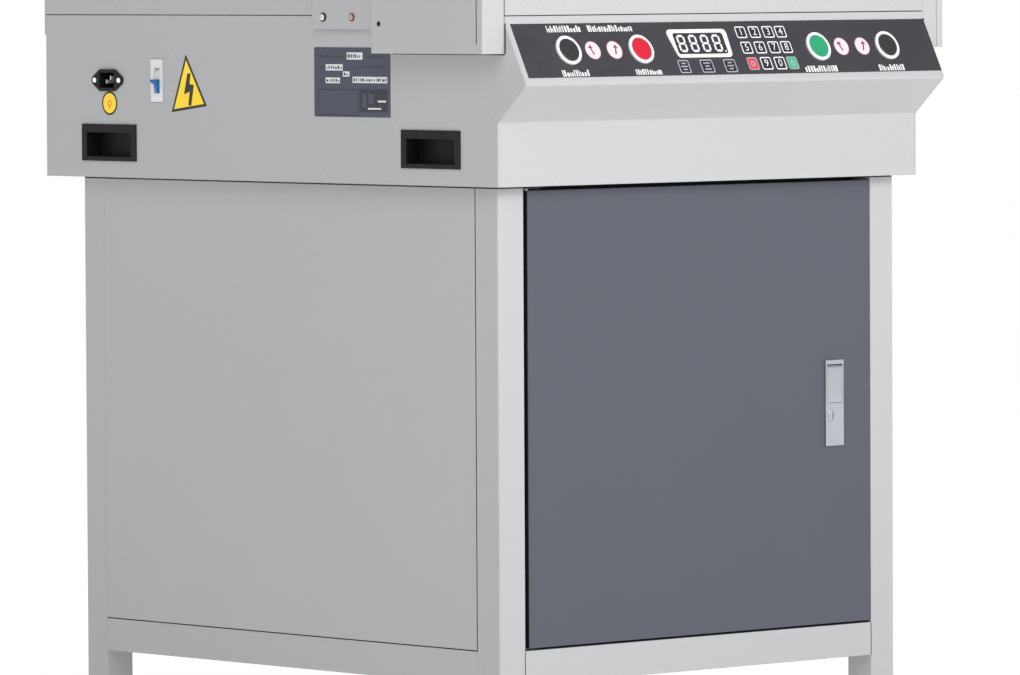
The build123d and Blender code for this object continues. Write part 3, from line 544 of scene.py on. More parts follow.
def screw_mesh(radius, height):
    """A pan-head screw with a cross recess, its seat at z 0."""
    count, rings = 32, 6
    head = bmesh.new()
    profile = [(radius, 0.0), (radius, 0.35 * height)]
    for i in range(1, rings + 1):
        turn = math.radians(90 * i / rings)
        profile.append((radius * (0.35 + 0.65 * math.cos(turn)), height * (0.35 + 0.65 * math.sin(turn))))
    loops = []
    for reach, z in profile:
        loops.append([head.verts.new((x, y, z)) for x, y in circle(0, 0, reach, count)])
    for below, above in zip(loops, loops[1:]):
        for i in range(count):
            j = (i + 1) % count
            head.faces.new((below[i], below[j], above[j], above[i]))
    head.faces.new(loops[-1])
    head.faces.new(loops[0][::-1])
    mesh = bpy.data.meshes.new("screw_head")
    head.to_mesh(mesh)
    head.free()
    solid = bpy.data.objects.new("screw_head", mesh)
    bpy.context.scene.collection.objects.link(solid)
    for turn in (0, 90):
        cutter_mesh = bpy.data.meshes.new("recess")
        cutter = bmesh.new()
        bmesh.ops.create_cube(cutter, size=1.0)
        bmesh.ops.scale(cutter, vec=(1.15 * radius, 0.26 * radius, height), verts=cutter.verts)
        bmesh.ops.translate(cutter, vec=(0, 0, 0.95 * height), verts=cutter.verts)
        bmesh.ops.rotate(cutter, matrix=Matrix.Rotation(math.radians(turn + 20), 3, "Z"), verts=cutter.verts)
        cutter.to_mesh(cutter_mesh)
        cutter.free()
        tool = bpy.data.objects.new("recess", cutter_mesh)
        bpy.context.scene.collection.objects.link(tool)
        boolean = solid.modifiers.new("recess", "BOOLEAN")
        boolean.operation, boolean.object, boolean.solver = "DIFFERENCE", tool, "EXACT"
        cut = bpy.data.meshes.new_from_object(solid.evaluated_get(bpy.context.evaluated_depsgraph_get()))
        solid.modifiers.clear()
        solid.data = cut
        bpy.data.objects.remove(tool)
    made = solid.data
    bpy.data.objects.remove(solid)
    return made


def screws(name, places, radius, height, material, body=MACHINE, slot=None):
    """Cross-recess screws at places, as one piece."""
    head = screw_mesh(radius * MM, height * MM)
    joined = bmesh.new()
    for index, place in enumerate(places):
        copy = head.copy()
        copy.transform(place @ Matrix.Rotation(math.radians(37 * index), 4, "Z"))
        joined.from_mesh(copy)
        bpy.data.meshes.remove(copy)
    mesh = bpy.data.meshes.new(name)
    joined.to_mesh(mesh)
    joined.free()
    made = piece(name, mesh, material, body, slot)
    made.data.shade_smooth()
    return sharpen(made)


def at(place, u, v, w=0.0):
    """A place moved by u and v along itself, and w outwards, in mm."""
    return place @ Matrix.Translation((u * MM, v * MM, w * MM))


# ================================================================ control panel
PANEL = panel_frame()
BUTTON_ROW = 31.0                     # mm down the slope from the brow to the buttons' centres


def text_dashes(u0, u1, s_middle, height, seed, stroke=2.0, space=1.1):
    """A row of plain dashes where the machine has a printed word. s_middle is down the slope."""
    draw = random.Random(seed)
    outlines, u = [], u0
    while u < u1 - 1.0:
        width = min(stroke * draw.uniform(0.5, 1.5), u1 - u)
        tall = height * draw.choice((1.0, 1.0, 0.78, 0.6))
        outlines.append(rectangle(u, u + width, -s_middle - height / 2, -s_middle - height / 2 + tall))
        u += width + space * draw.uniform(0.7, 1.4)
    return outlines


def key_frame(u0, u1, s0, s1, line, radius):
    """The printed outline of one key."""
    outer = rectangle(u0, u1, -s1, -s0, radius)
    inner = rectangle(u0 + line, u1 - line, -s1 + line, -s0 - line, max(radius - line, 0.3))
    return [outer, inner]


KEY_COLUMNS = ((20.0, 34.5), (39.0, 54.0), (58.6, 73.6), (76.6, 91.2))
KEY_ROWS = ((6.5, 19.8), (24.0, 37.6), (41.8, 56.2))
ROW_SHIFTS = (-2.7, -1.9, -1.0)
DIGIT_COLUMNS = ((0, 1, 2, 3), (0, 1, 2, 3), (1, 2))
FUNCTION_KEYS = ((-79.0, -64.0), (-48.0, -30.5), (-15.0, 1.5))
FUNCTION_ROW = (43.6, 58.4)
# each word's left, right, place down the slope and height
PANEL_WORDS = ((-243, -197, 6.6, 7.2), (-187, -124, 6.6, 7.2), (-242, -204, 56.2, 7.2),
               (-141, -104, 56.2, 6.4), (98, 146, 56.2, 7.0), (205, 243, 56.2, 7.0))
PRINT_HEIGHT = 0.12 * MM


def key_box(row, column, inset=0.0):
    """The left, right, top and bottom of one key, made smaller by inset."""
    u0, u1 = KEY_COLUMNS[column]
    s0, s1 = KEY_ROWS[row]
    shift = ROW_SHIFTS[row]
    return u0 + shift + inset, u1 + shift - inset, s0 + inset, s1 - inset


def control_panel():
    """The printed and embossed detail of the membrane."""
    white = []
    for seed, word in enumerate(PANEL_WORDS, 1):
        white += text_dashes(*word, seed)
    for row, columns in enumerate(DIGIT_COLUMNS):
        for column in columns:
            white += key_frame(*key_box(row, column), 1.3, 2.2)
    flat_shape("panel_print_white", white, PANEL, PRINT_HEIGHT, WHITE_INK)

    pale = []
    for u0, u1 in FUNCTION_KEYS:
        pale += key_frame(u0, u1, *FUNCTION_ROW, 1.2, 2.0)
    for column in (0, 3):
        pale += key_frame(*key_box(2, column), 1.1, 2.2)
    flat_shape("panel_print_pale", pale, PANEL, PRINT_HEIGHT, GREY_INK)

    pads, inset = [], 1.5
    for row, columns in enumerate(DIGIT_COLUMNS):
        for column in columns:
            u0, u1, s0, s1 = key_box(row, column, inset)
            pads.append(rectangle(u0, u1, -s1, -s0, 1.4))
    for u0, u1 in FUNCTION_KEYS:
        low_edge, high_edge = -FUNCTION_ROW[1] + inset, -FUNCTION_ROW[0] - inset
        pads.append(rectangle(u0 + inset, u1 - inset, low_edge, high_edge, 1.4))
    flat_shape("key_pads_dark", pads, PANEL, 0.30 * MM, DARK_INK, soften=0.1 * MM)
    for name, column, ink in (("key_pad_red", 0, RED_KEY), ("key_pad_green", 3, GREEN_KEY)):
        u0, u1, s0, s1 = key_box(2, column, 1.2)
        flat_shape(name, [rectangle(u0, u1, -s1, -s0, 1.6)], PANEL, 0.30 * MM, ink, soften=0.1 * MM)

    digits = []
    for row, text in enumerate(("1234", "5678", "90")):
        for column, digit in zip(DIGIT_COLUMNS[row], text):
            u0, u1, s0, s1 = key_box(row, column)
            digits.append((digit, (u0 + u1) / 2, -(s0 + s1) / 2, 11.5))
    printed_digits("key_digits", digits, PANEL, 0.06 * MM, WHITE_INK, lift=0.29 * MM)

    marks = []
    for index, (u0, u1) in enumerate(FUNCTION_KEYS):
        for line in range(3):
            s = FUNCTION_ROW[0] + 4.0 + 3.4 * line
            reach = 3.0 + 1.6 * ((index + line) % 2)
            marks.append(rectangle((u0 + u1) / 2 - reach, (u0 + u1) / 2 + reach, -s - 0.7, -s + 0.7, 0.4))
    for column in (0, 3):
        u0, u1, s0, s1 = key_box(2, column)
        marks += [circle((u0 + u1) / 2, -(s0 + s1) / 2, radius) for radius in (3.0, 1.8)]
    flat_shape("key_marks", marks, PANEL, 0.06 * MM, GREY_INK, lift=0.29 * MM)


def seven_segments(u, v, width, height, line):
    """All seven bars of one digit, centred on u and v."""
    left, right = u - width / 2, u + width / 2
    middle, bottom, top = v, v - height / 2, v + height / 2
    gap, half = 0.25, line / 2
    bars = []
    for y in (bottom + half, middle, top - half):
        bars.append([(left + half + gap, y), (left + line + gap, y + half), (right - line - gap, y + half),
                     (right - half - gap, y), (right - line - gap, y - half), (left + line + gap, y - half)])
    for x in (left + half, right - half):
        for start, end in ((bottom + half, middle), (middle, top - half)):
            low_end, high_end = start + gap, end - gap
            bars.append([(x, low_end), (x + half, low_end + half), (x + half, high_end - half),
                         (x, high_end), (x - half, high_end - half), (x - half, low_end + half)])
    return bars


def counter_display():
    """The counter's white surround and its four digits."""
    lowest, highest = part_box("display_window")
    left, right = lowest.x / MM, highest.x / MM
    s_top, s_bottom = 13.25, 37.75
    low_edge, high_edge = -s_bottom - 3.6, -s_top + 4.0
    outer = rounded([(left - 1.2, low_edge), (right + 4.4, low_edge), (right + 6.4, high_edge),
                     (left - 8.4, high_edge)], 6.0, 8)
    inner = rectangle(left + 0.3, right - 0.3, -s_bottom + 0.3, -s_top - 0.3, 3.0, 8)
    flat_shape("display_surround", [outer, inner], PANEL, 1.3 * MM, "white_plastic", soften=0.4 * MM)
    window_top = 1.0 * MM
    bars = []
    pitch, first = 16.4, left + 9.6
    for index in range(4):
        bars += seven_segments(first + pitch * index, -25.5, 11.2, 19.6, 2.5)
    bars.append(circle(first + pitch * 3 + 8.6, -34.6, 1.1, 16))
    flat_shape("display_digits", bars, PANEL, 0.08 * MM, DIGIT_LIGHT, lift=window_top)


def notice_discs():
    """Four pale pink notices between the buttons, each with a plain arrow or bar."""
    discs = (-189.7, -160.0, 161.2, 191.5)
    flat_shape("notice_discs", [circle(u, -BUTTON_ROW, 10.2) for u in discs], PANEL, 0.15 * MM, PINK_LABEL)
    rims = []
    for u in discs:
        rims += [circle(u, -BUTTON_ROW, 10.2), circle(u, -BUTTON_ROW, 9.5)]
    rose = print_ink("rose_ink", (0.66, 0.20, 0.30))
    flat_shape("notice_rims", rims, PANEL, 0.05 * MM, rose, lift=0.15 * MM)
    marks = []
    for index, u in enumerate(discs):
        lean = 1 if index % 2 else -1
        v = -BUTTON_ROW
        marks.append([(u - 1.0, v - 5.0), (u + 1.0, v - 5.0), (u + 1.0 + 2.2 * lean, v + 2.0),
                      (u - 1.0 + 2.2 * lean, v + 2.0)])
        tip = u + 2.4 * lean
        marks.append([(tip - 3.4, v + 2.2), (tip + 3.4, v + 2.2), (tip, v + 6.2)])
    flat_shape("notice_marks", marks, PANEL, 0.05 * MM, RED_INK, lift=0.15 * MM)


# ================================================================ labels and fittings on the left side
def shrink(points, middle, factor):
    """An outline scaled about a point."""
    return [(middle[0] + (u - middle[0]) * factor, middle[1] + (v - middle[1]) * factor) for u, v in points]


def incentre(a, b, c):
    """The middle and the radius of the circle inside a triangle."""
    sides = [math.dist(b, c), math.dist(a, c), math.dist(a, b)]
    whole = sum(sides)
    middle = tuple((sides[0] * a[i] + sides[1] * b[i] + sides[2] * c[i]) / whole for i in (0, 1))
    area = abs((b[0] - a[0]) * (c[1] - a[1]) - (c[0] - a[0]) * (b[1] - a[1])) / 2
    return middle, 2 * area / whole


TRIANGLE_BORDER, DISC_BORDER = 2.8, 2.1


def side_labels():
    """The yellow triangle and disc and the dark data plate on the left side."""
    face = left_side(low("case_side_left", 0))
    corners = [(-146.0, 750.5), (-169.4, 689.8), (-112.2, 696.8)]
    middle, radius = incentre(*corners)
    inner = shrink(corners, middle, 1 - TRIANGLE_BORDER / radius)
    bolt = [(-143.4, 730.4), (-138.2, 730.8), (-139.8, 719.4), (-132.9, 718.6), (-137.4, 696.8),
            (-142.2, 697.4), (-139.8, 711.6), (-149.0, 708.6)]
    u, v, disc_radius = -271.0, 698.3, 12.6
    earth = [circle(u, v, 3.2, 24), circle(u, v, 2.2, 24), rectangle(u - 0.6, u + 0.6, v - 6.2, v - 3.3)]
    for name, border, yellow, mark, ink in (
        ("hazard_triangle", corners, inner, [bolt], BLACK_LABEL),
        ("earth_disc", circle(u, v, disc_radius), circle(u, v, disc_radius - DISC_BORDER), earth, ORANGE_INK),
    ):
        flat_shape(f"{name}_border", [border], face, 0.15 * MM, BLACK_LABEL)
        flat_shape(f"{name}_face", [yellow], face, 0.06 * MM, YELLOW_LABEL, lift=0.15 * MM)
        flat_shape(f"{name}_mark", mark, face, 0.05 * MM, ink, lift=0.21 * MM)

    plate = rectangle(58.5, 176.0, 688.0, 759.0, 1.0)
    flat_shape("data_plate", [plate], face, 0.3 * MM, PLATE_BLUE, soften=0.08 * MM)
    return face


# fields as left, right, bottom and top, and words as left, right, middle and height
WHITE_FIELDS = ((109.4, 133.5, 746.6, 753.9), (76.5, 102.9, 735.3, 741.7), (103.1, 113.3, 729.2, 734.5),
                (76.5, 98.6, 722.3, 728.1), (118.1, 171.4, 722.8, 729.2))
PLATE_WORDS = ((66.9, 86.0, 749.6, 2.7), (89.7, 104.9, 749.6, 2.7), (66.9, 74.0, 738.7, 2.4),
               (66.9, 74.0, 725.2, 2.4), (118.5, 126.0, 738.2, 2.4), (140.0, 168.0, 749.8, 2.4),
               (132.0, 168.0, 739.4, 2.2))


def data_plate_print(face):
    """Pale fields with plain dashes, and dark words and frames, on the data plate."""
    flat_shape("data_plate_fields", [rectangle(*field) for field in WHITE_FIELDS], face, 0.04 * MM, WHITE_INK,
               lift=0.3 * MM)
    values, words = [], []
    for index, (u0, u1, v0, v1) in enumerate(WHITE_FIELDS):
        values += text_dashes(u0 + 1.4, u1 - 1.4, -(v0 + v1) / 2, 0.5 * (v1 - v0), 20 + index, 2.0, 1.5)
    flat_shape("data_plate_values", values, face, 0.03 * MM, PLATE_DARK, lift=0.34 * MM)
    for index, (u0, u1, v, height) in enumerate(PLATE_WORDS):
        words += text_dashes(u0, u1, -v, height, 40 + index, stroke=2.4, space=1.2)
    outer, inner = rectangle(64.9, 127.8, 689.4, 716.5), rectangle(66.0, 126.7, 690.5, 715.4)
    flat_shape("data_plate_words", words + [outer, inner], face, 0.04 * MM, PLATE_DARK, lift=0.3 * MM)
    window = [[(133.0, 697.6), (139.0, 697.6), (139.0, 711.8), (133.0, 711.8)],
              rectangle(141.8, 150.4, 701.6, 711.8, 1.2)]
    flat_shape("data_plate_frame", [rectangle(129.0, 172.0, 693.3, 716.5, 0.6)] + window, face, 0.05 * MM,
               PLATE_DARK, lift=0.3 * MM)
    strokes = [rectangle(156.8, 169.5, 703.4, 705.2), rectangle(141.6, 161.9, 696.0, 697.6)]
    flat_shape("data_plate_strokes", strokes, face, 0.03 * MM, WHITE_INK, lift=0.35 * MM)


def fasteners():
    """Screws of the inlet, the covers and the wings."""
    inlet = left_side(low("power_inlet", 0))
    # the plated screws' glow is a painted highlight that makes them look white
    screws("inlet_screws", [at(inlet, -253.2, 722.5), at(inlet, -292.8, 722.5)], 2.7, 1.3,
           sticker("plated_screw", (0.93, 0.93, 0.92), 0.3, glow=0.2), slot="bright_steel")

    cover_left = left_side(low("frame_covers", 0))
    cover_right = right_side(high("frame_covers", 0))
    turned("cover_screw_cups", [(2.4, 0.0), (4.4, 0.0), (4.4, 1.4), (3.9, 1.9), (2.4, 1.9)],
           [at(cover_left, 80, 789.7), at(cover_right, -80, 789.7)], "black_plastic")
    screws("cover_screws_white", [at(cover_left, 80, 789.7, 1.4), at(cover_right, -80, 789.7, 1.4)], 3.3, 2.0,
           "white_plastic")
    brass = [at(side, sign * y, z) for side, sign in ((cover_left, -1), (cover_right, 1))
             for y, z in ((-124.0, 789.7), (-76.0, 948.0), (-166.0, 948.0))]
    turned("cover_screw_collars", [(2.4, 0.0), (4.2, 0.0), (4.2, 0.8), (3.6, 1.3), (2.4, 1.3)], brass,
           print_ink("burnt_bronze", (0.15, 0.055, 0.030), 0.4), slot="bronze")
    screws("cover_screws_brass", [place @ Matrix.Translation((0, 0, 1.0 * MM)) for place in brass], 3.0, 1.5,
           print_ink("pale_copper", (0.72, 0.46, 0.36), 0.35), slot="bronze")

    wing_left = left_side(low("wing_left", 0))
    wing_right = right_side(high("wing_right", 0))
    spots = ((-192.5, 783.4), (-192.5, 985.0), (-336.0, 985.0))
    screws("wing_screws",
           [at(wing_left, -y, z) for y, z in spots] + [at(wing_right, y, z) for y, z in spots],
           2.4, 1.1, "black_plastic")


# ================================================================ stage, lights and camera
def stage():
    """A plain white floor, wide enough to fill the picture to its top, a little duller before the machine."""
    reach = 300.0
    mesh = bpy.data.meshes.new("floor")
    corners = [(u, v, 0) for u, v in rectangle(-reach, reach, -reach, reach)]
    mesh.from_pydata(corners, [], [(0, 1, 2, 3)])
    floor = bpy.data.objects.new("floor", mesh)
    bpy.context.scene.collection.objects.link(floor)
    made = Surface("floor_white", (0.95, 0.95, 0.95), 0.85)
    made.set(Specular_IOR_Level=0.1, Emission_Color=(1, 1, 1, 1))
    distance = made.add("ShaderNodeVectorMath")
    distance.operation = "DISTANCE"
    distance.inputs[1].default_value = (-0.6, -0.9, 0)
    made.link(made.place, distance.inputs[0])
    glow = made.ranged(distance.outputs["Value"], 0.22, 0.64, 1.2, 2.4)
    made.link(glow, made.shader.inputs["Emission Strength"])
    floor.data.materials.append(made.material)


def lights():
    """A pale dome, a broad key before the machine and a weak fill beside its front left corner."""
    world = bpy.data.worlds.new("studio")
    bpy.context.scene.world = world
    world.use_nodes = True
    dome = world.node_tree.nodes["Background"]
    dome.inputs["Color"].default_value = (0.985, 0.992, 1.0, 1)
    dome.inputs["Strength"].default_value = 0.38

    panels = (
        ("key", 1.3, 46.5, (-0.05, -2.75, 1.8), (0.0, -0.34, 0.80)),
        ("fill", 1.9, 20.5, (-2.0, -1.3, 2.2), (-0.3, -0.2, 0.75)),
    )
    for name, size, power, place, target in panels:
        lamp = bpy.data.objects.new(name, bpy.data.lights.new(name, "AREA"))
        lamp.data.shape, lamp.data.size, lamp.data.energy = "DISK", size, power
        lamp.location = place
        lamp.rotation_euler = (Vector(place) - Vector(target)).to_track_quat("Z", "Y").to_euler()
        bpy.context.scene.collection.objects.link(lamp)


def camera():
    """A long lens at panel height, level with the floor's horizon above the picture."""
    heading, tilt, roll = math.radians(-42.34), math.radians(2.741), math.radians(-0.291)
    forward = Vector((-math.sin(heading), math.cos(heading), 0))
    right = Vector((math.cos(heading), math.sin(heading), 0))
    corner = Vector((low("case_side_left", 0), FRONT * MM, 0))
    place = corner - forward * 7.943 + right * 0.0113 + Vector((0, 0, 0.8505))
    seen = bpy.data.objects.new("camera", bpy.data.cameras.new("camera"))
    seen.data.lens, seen.data.sensor_width = 280.8, 36.0
    seen.data.clip_start, seen.data.clip_end = 0.1, 1000.0
    turn = Matrix.Rotation(heading, 4, "Z") @ Matrix.Rotation(math.radians(90) - tilt, 4, "X")
    seen.matrix_world = Matrix.Translation(place) @ turn @ Matrix.Rotation(roll, 4, "Z")
    bpy.context.scene.collection.objects.link(seen)
    bpy.context.scene.camera = seen
    bpy.context.scene.view_settings.view_transform = "Standard"


def breaker_toggle():
    """The breaker's lever: a white drum that fills the slot and a blue tab on it that narrows downwards."""
    axis = Vector((-280.7, 192.9, 722.7)) * MM
    width, radius = 9.0, 16.0
    across = Matrix.Translation(axis) @ Matrix.Rotation(math.radians(-90), 4, "X")
    drum = turned("breaker_drum", [(0, -width / 2), (radius - 0.3, -width / 2), (radius, 0.3 - width / 2),
                                   (radius, width / 2 - 0.3), (radius - 0.3, width / 2), (0, width / 2)],
                  [across], "white_plastic", "breaker_toggle", count=96)
    proud, fall, depth = 5.6, 4.0, 8.6
    face = low("breaker_body", 0)
    outline = [(-4.2, 1.2), (-4.4, -1.6), (1.0, -4.2), (1.6, -12.8), (4.2, -12.8), (4.4, 1.2)]
    place = at(left_side(face - proud * MM), -axis.y / MM, axis.z / MM, -depth)
    tab = flat_shape("breaker_tab", [outline], place, depth * MM, "blue_plastic", "breaker_toggle",
                     soften=0.25 * MM)
    for vertex in tab.data.vertices:
        if vertex.co.x < face - 1.5 * MM:
            down = min(max((axis.z - 1.8 * MM - vertex.co.z) / (11.0 * MM), 0.0), 1.0)
            vertex.co.x += fall * MM * down
    for made in (drum, tab):
        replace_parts(made, "breaker_lever")


# ================================================================ painted shade: black strips in the gaps and seams
POSTS = [(x, y) for x in (-262.8, 262.8) for y in (-302.2, 317.9)]
# black for the lid's knob, and for strips and sheets of painted shade in gaps, slits and recesses
BLACK_PARTS_AND_SHADE = "black_plastic"


def seals():
    """Black strips of painted shade in the gaps round the door, under the case and in the seams of the
    stand's panels, and painted shadows by the covers and wings.
    """
    rail_top = top_side(high("stand_lower_rails", 2))
    # black strips of painted shade in the door's gaps, and over the hinge fittings seen through them
    for name, outline, place, height, soften, body in (
        ("door_edge_shade", (300, 318.3, 154.4, 614.8), left_side(low("door_panel", 0)), 0.3, 0.1, "door"),
        ("door_top_shade", (-243, 243, 592.6, 619.6, 1.0), front_side(-295.2 * MM), 2.4, 0.6, MACHINE),
        ("hinge_bracket_shade", (-245.6, -220.2, 617.1, 619.9), front_side(-318.0 * MM), 0.5, 0.1, MACHINE),
        ("hinge_washer_shade", (-245.6, -228, 151.6, 153.5), front_side(-318.1 * MM), 0.5, 0.1, MACHINE),
        ("door_sill_shade", (-228, 244.6, -317.8, -300, 1.0), rail_top, 1.0, 0.3, MACHINE),
    ):
        flat_shape(name, [rectangle(*outline)], place, height * MM, BLACK_PARTS_AND_SHADE, body, soften=soften * MM)
    # black squares on the posts' tops are painted shade in the gap under the case
    pads = [rectangle(x - 16.8, x + 16.8, y - 16.8, y + 16.8, 2.2) for x, y in POSTS]
    flat_shape("post_top_shade", pads, top_side(618.0 * MM), 1.9 * MM, BLACK_PARTS_AND_SHADE, soften=0.3 * MM)
    # thin black strips of painted shade over the seams of the stand's panels and rails
    low_line, top_line = 151.1, 617.6
    for name, place, lines in (
        ("panel_seam_shade_left", left_side(-279.8 * MM), (rectangle(284.35, 285.35, low_line, top_line),
                                                       rectangle(-300.4, 284.35, low_line, low_line + 1.1))),
        ("panel_seam_shade_right", right_side(279.8 * MM), (rectangle(-285.35, -284.35, low_line, top_line),
                                                        rectangle(-284.35, 300.4, low_line, low_line + 1.1))),
        ("rail_seam_shade_front", front_side(-319.2 * MM), [rectangle(x - 0.45, x + 0.45, 117.2, 151.3)
                                                       for x in (-245.8, 245.8)]),
        ("panel_seam_shade_back", back_side(334.9 * MM), (rectangle(244.9, 246.0, low_line, top_line),
                                                      rectangle(-246.0, -244.9, low_line, top_line),
                                                      rectangle(-244.9, 244.9, low_line, low_line + 1.1))),
    ):
        flat_shape(name, lines, place, 0.12 * MM, BLACK_PARTS_AND_SHADE)
    # painted shadows beside the covers and under the wings, and painted shade in the wings' grooves
    cover_edge, wing_edge, case_edge = 302 * MM, 326 * MM, 296 * MM
    for side, face, sign in (("left", left_side, 1), ("right", right_side, -1)):
        for name, x, outlines in (
            ("cover_shadow", cover_edge, [(178.2, 180.0, 777.5, 961.5)]),
            ("wing_groove_shade", wing_edge, [(338.6, 339.6, 763.5, 1000.0)]),
            ("wing_foot_shadow", case_edge, [(348.1, 349.6, 753.5, 784.0), (180.0, 348.0, 752.2, 753.3)]),
        ):
            shapes = [rectangle(*sorted((sign * u0, sign * u1)), v0, v1) for u0, u1, v0, v1 in outlines]
            flat_shape(f"{name}_{side}", shapes, face(-sign * x), 0.10 * MM, BLACK_PARTS_AND_SHADE)


# ================================================================ details of the other sides
def louvres(name, spots, place, width=58, height=7, depth=3.0):
    """Pressed hoods that open downwards, at spots of (u, v), each over a black sheet of painted shade in its
    slit.
    """
    hoods, count, rings = bmesh.new(), 24, 6
    for u, v in spots:
        rows = []
        for j in range(rings + 1):
            turn = math.radians(90 * j / rings)
            row = []
            for i in range(count + 1):
                t = 2 * i / count - 1
                full = (1 - abs(t) ** 6) ** 0.5
                out = depth * full * math.sin(turn) + 0.05
                spot = Vector((u + width / 2 * t, v + height * math.cos(turn), out))
                row.append(hoods.verts.new(spot * MM))
            rows.append(row)
        for below, above in zip(rows, rows[1:]):
            for i in range(count):
                hoods.faces.new((below[i], below[i + 1], above[i + 1], above[i]))
    bmesh.ops.recalc_face_normals(hoods, faces=hoods.faces)
    bmesh.ops.transform(hoods, matrix=place, verts=hoods.verts)
    mesh = bpy.data.meshes.new(name)
    hoods.to_mesh(mesh)
    hoods.free()
    piece(name, mesh, "grey_paint", MACHINE).data.shade_smooth()
    reach = width / 2 - 1.5
    # the slits' black sheets are painted shade where the hoods open
    slit_shade = [rectangle(u - reach, u + reach, v + 0.1, v + 0.55 * height) for u, v in spots]
    flat_shape(f"{name}_slits", slit_shade, place, 0.04 * MM, BLACK_PARTS_AND_SHADE)


def back_details():
    """Vents and screws on the back, and screws on the covers' sides."""
    case_back = back_side(high("case_back_panel", 1))
    spots = [(u, v) for u in (-190, -120, 120, 190) for v in range(655, 750, 15)]
    louvres("case_louvres", spots, case_back)
    head_back = back_side(high("head_cover", 1))
    spots = [(u, v) for u in (-200, -130, -60, 60, 130, 200) for v in range(1010, 1100, 15)]
    louvres("head_louvres", spots, head_back)
    cabinet_back = back_side(high("cabinet_panels", 1))
    places = [at(case_back, u, v) for u in (-284, -95, 95, 284) for v in (630, 760)]
    places += [at(cabinet_back, u, v) for u in (-234, 0, 234) for v in (164, 385, 606)]
    places += [at(head_back, u, v) for u in (-284, 284) for v in (975, 1140)]
    screws("back_screws", places, 3.6, 2.0, "bright_steel")
    sides = ((left_side(low("head_cover", 0)), -1), (right_side(high("head_cover", 0)), 1))
    spots = [(-44.0, 985.0), (-44.0, 1148.0), (-204.0, 985.0), (4.0, 812.0), (184.0, 812.0), (364.0, 812.0)]
    places = [at(side, sign * y, z) for side, sign in sides for y, z in spots]
    screws("cover_side_screws", places, 3.6, 1.9, "bright_steel")


def scale(name, u0, u1, first, last):
    """A ruler on the table. Its numbers are centimetres from the cutting line at v = -142."""
    table, cut_line = top_side(high("front_table", 2)), -142.0
    ends = sorted((cut_line + 10 * first, cut_line + 10 * last))
    flat_shape(f"{name}_strip", [rectangle(u0, u1, ends[0] - 4, ends[1] + 4, 1.0)], table, 0.12 * MM,
               sticker(f"{name}_vinyl", (0.72, 0.73, 0.74), 0.35))
    step = 1 if last > first else -1
    ticks, digits = [], []
    for millimetre in range(0, abs(last - first) * 10 + 1):
        v = cut_line + step * (abs(first) * 10 + millimetre)
        reach = 7.0 if millimetre % 10 == 0 else 5.0 if millimetre % 5 == 0 else 3.0
        ticks.append(rectangle(u0 + 0.8, u0 + 0.8 + reach, v - 0.09, v + 0.09))
    for centimetre in range(abs(first), abs(last) + 1):
        digits.append((str(centimetre), u0 + 13.0, cut_line + step * 10 * centimetre, 6.5))
    flat_shape(f"{name}_ticks", ticks, table, 0.03 * MM, DARK_INK, lift=0.12 * MM)
    printed_digits(f"{name}_digits", digits, table, 0.03 * MM, DARK_INK, lift=0.12 * MM)


def thread(name, node, body, start, direction, length, crest=8.0, root=6.7, lead=10.0):
    """A lead screw with a trapezoidal thread, which stands for a plain CAD bar."""
    count, steps = 24, 12
    screw, rows = bmesh.new(), []
    rings = int(length / lead * steps)
    for ring in range(rings + 1):
        height = length * ring / rings
        row = []
        for i in range(count):
            phase = (height / lead - i / count) % 1.0
            ramp = min(max((abs(phase - 0.5) - 0.17) / 0.12, 0.0), 1.0)
            radius = crest - 0.02 + (root - crest) * ramp
            turn = math.tau * i / count
            spot = (radius * MM * math.cos(turn), radius * MM * math.sin(turn), height * MM)
            row.append(screw.verts.new(spot))
        rows.append(row)
    for below, above in zip(rows, rows[1:]):
        for i in range(count):
            j = (i + 1) % count
            screw.faces.new((below[i], below[j], above[j], above[i]))
    screw.faces.new(rows[0][::-1])
    screw.faces.new(rows[-1])
    turned_to = Vector(direction).to_track_quat("Z", "Y").to_matrix().to_4x4()
    bmesh.ops.transform(screw, matrix=Matrix.Translation(Vector(start) * MM) @ turned_to, verts=screw.verts)
    mesh = bpy.data.meshes.new(name)
    screw.to_mesh(mesh)
    screw.free()
    made = piece(name, mesh, "bright_steel", body)
    made.data.shade_smooth()
    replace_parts(sharpen(made), node)


def lead_screws():
    """The threads of the knife's, the clamp's and the gauge's screws."""
    thread("knife_lead_screw", "knife_spindle", "knife_screw", (-215, -190, 985), (0, 0, 1), 130)
    thread("clamp_lead_screw", "clamp_spindle", "clamp_screw", (0, -120, 881), (0, 0, 1), 239)
    thread("gauge_lead_screw", "gauge_screw", "gauge_leadscrew", (0, -128, 775), (0, 1, 0), 478)


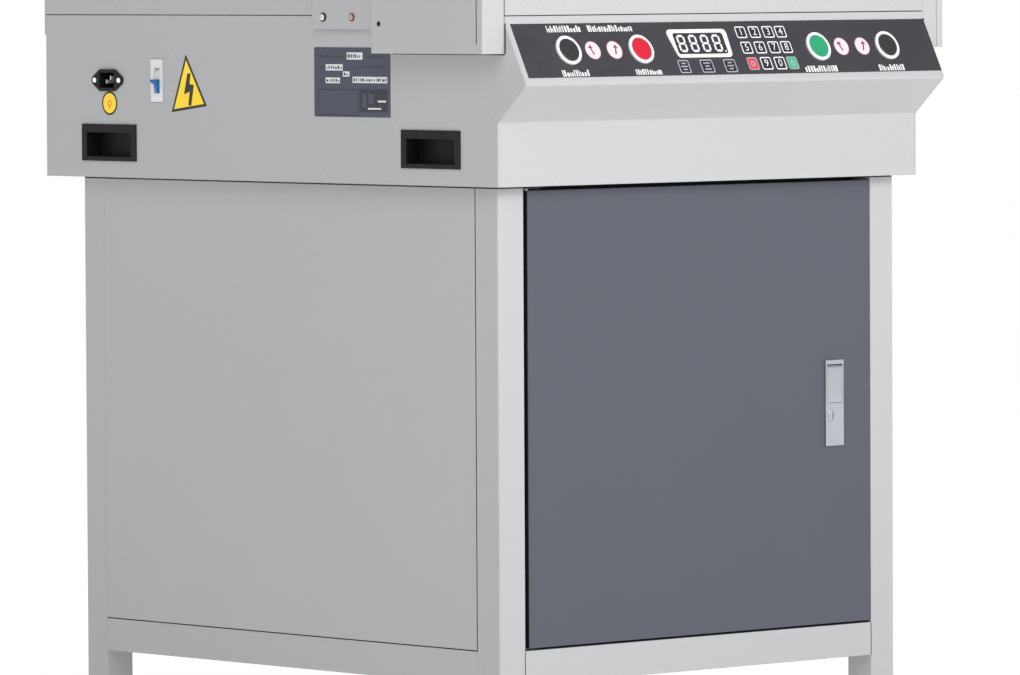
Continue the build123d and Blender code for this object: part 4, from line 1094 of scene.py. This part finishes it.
def feet():
    """Rubber pads, swivel cups and threaded studs in place of the plain CAD feet."""
    places = [Matrix.Translation((x * MM, y * MM, 0)) for x, y in POSTS]
    pad = [(0, 0), (18.6, 0), (20, 1.2), (20, 4.6), (19.2, 6.2), (16.6, 7.0), (13.5, 9.0), (9.2, 14.6),
           (8.0, 15.8), (0, 15.9)]
    pads = turned("feet_pads", pad, places, "black_plastic")
    profile = [(0, 15.9), (4.4, 15.9)]
    for turn in range(20):
        start = 16.2 + 2.0 * turn
        profile += [(4.25, start), (4.95, start + 0.7), (4.95, start + 1.2), (4.25, start + 1.9)]
    studs = turned("feet_studs", profile + [(4.25, 57.6), (0, 58.0)], places, "bright_steel", count=24)
    for made in (pads, studs):
        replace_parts(made, "leveling_feet")


def small_fittings():
    """The lid's knob, flat dark hexagons of painted shade for the hexagon recesses in the blade bolts, and
    the light curtain's lenses.
    """
    lid_top = Matrix.Translation((0, 352 * MM, 904.4 * MM))
    knob = [(7.5, 0), (7.5, 1.5), (6.0, 4.0), (6.4, 7.5), (10.5, 11.0), (11.5, 14.0), (10.2, 16.8),
            (6.5, 18.2), (0, 18.5)]
    turned("lid_knob", knob, [lid_top], BLACK_PARTS_AND_SHADE, "lid", count=40)
    # the bolts' hexagon recesses are flat dark hexagons of painted shade
    bolt_face = front_side(low("blade_bolts", 1))
    socket_shade = [circle(x, 950, 3.6, 6) for x in range(-210, 200, 80)]
    flat_shape("bolt_socket_shade", socket_shade, bolt_face, 0.06 * MM, BLACK_PARTS_AND_SHADE, "knife")
    lens = sticker("lens_red", (0.20, 0.004, 0.010), 0.12)
    for name, place, sign in (("curtain_lenses_left", right_side(-296.4 * MM), 1),
                              ("curtain_lenses_right", left_side(296.4 * MM), -1)):
        lenses = [circle(sign * -275.0, v, 3.1, 24) for v in range(850, 982, 10)]
        flat_shape(name, lenses, place, 0.35 * MM, lens, slot="curtain_acrylic", soften=0.15 * MM)


stage()
lights()
camera()
control_panel()
counter_display()
notice_discs()
data_plate_print(side_labels())
fasteners()
breaker_toggle()
seals()
back_details()
scale("front_scale", -14.0, 8.0, -2, -20)
scale("rear_scale", 60.0, 82.0, 10, 50)
lead_screws()
feet()
small_fittings()
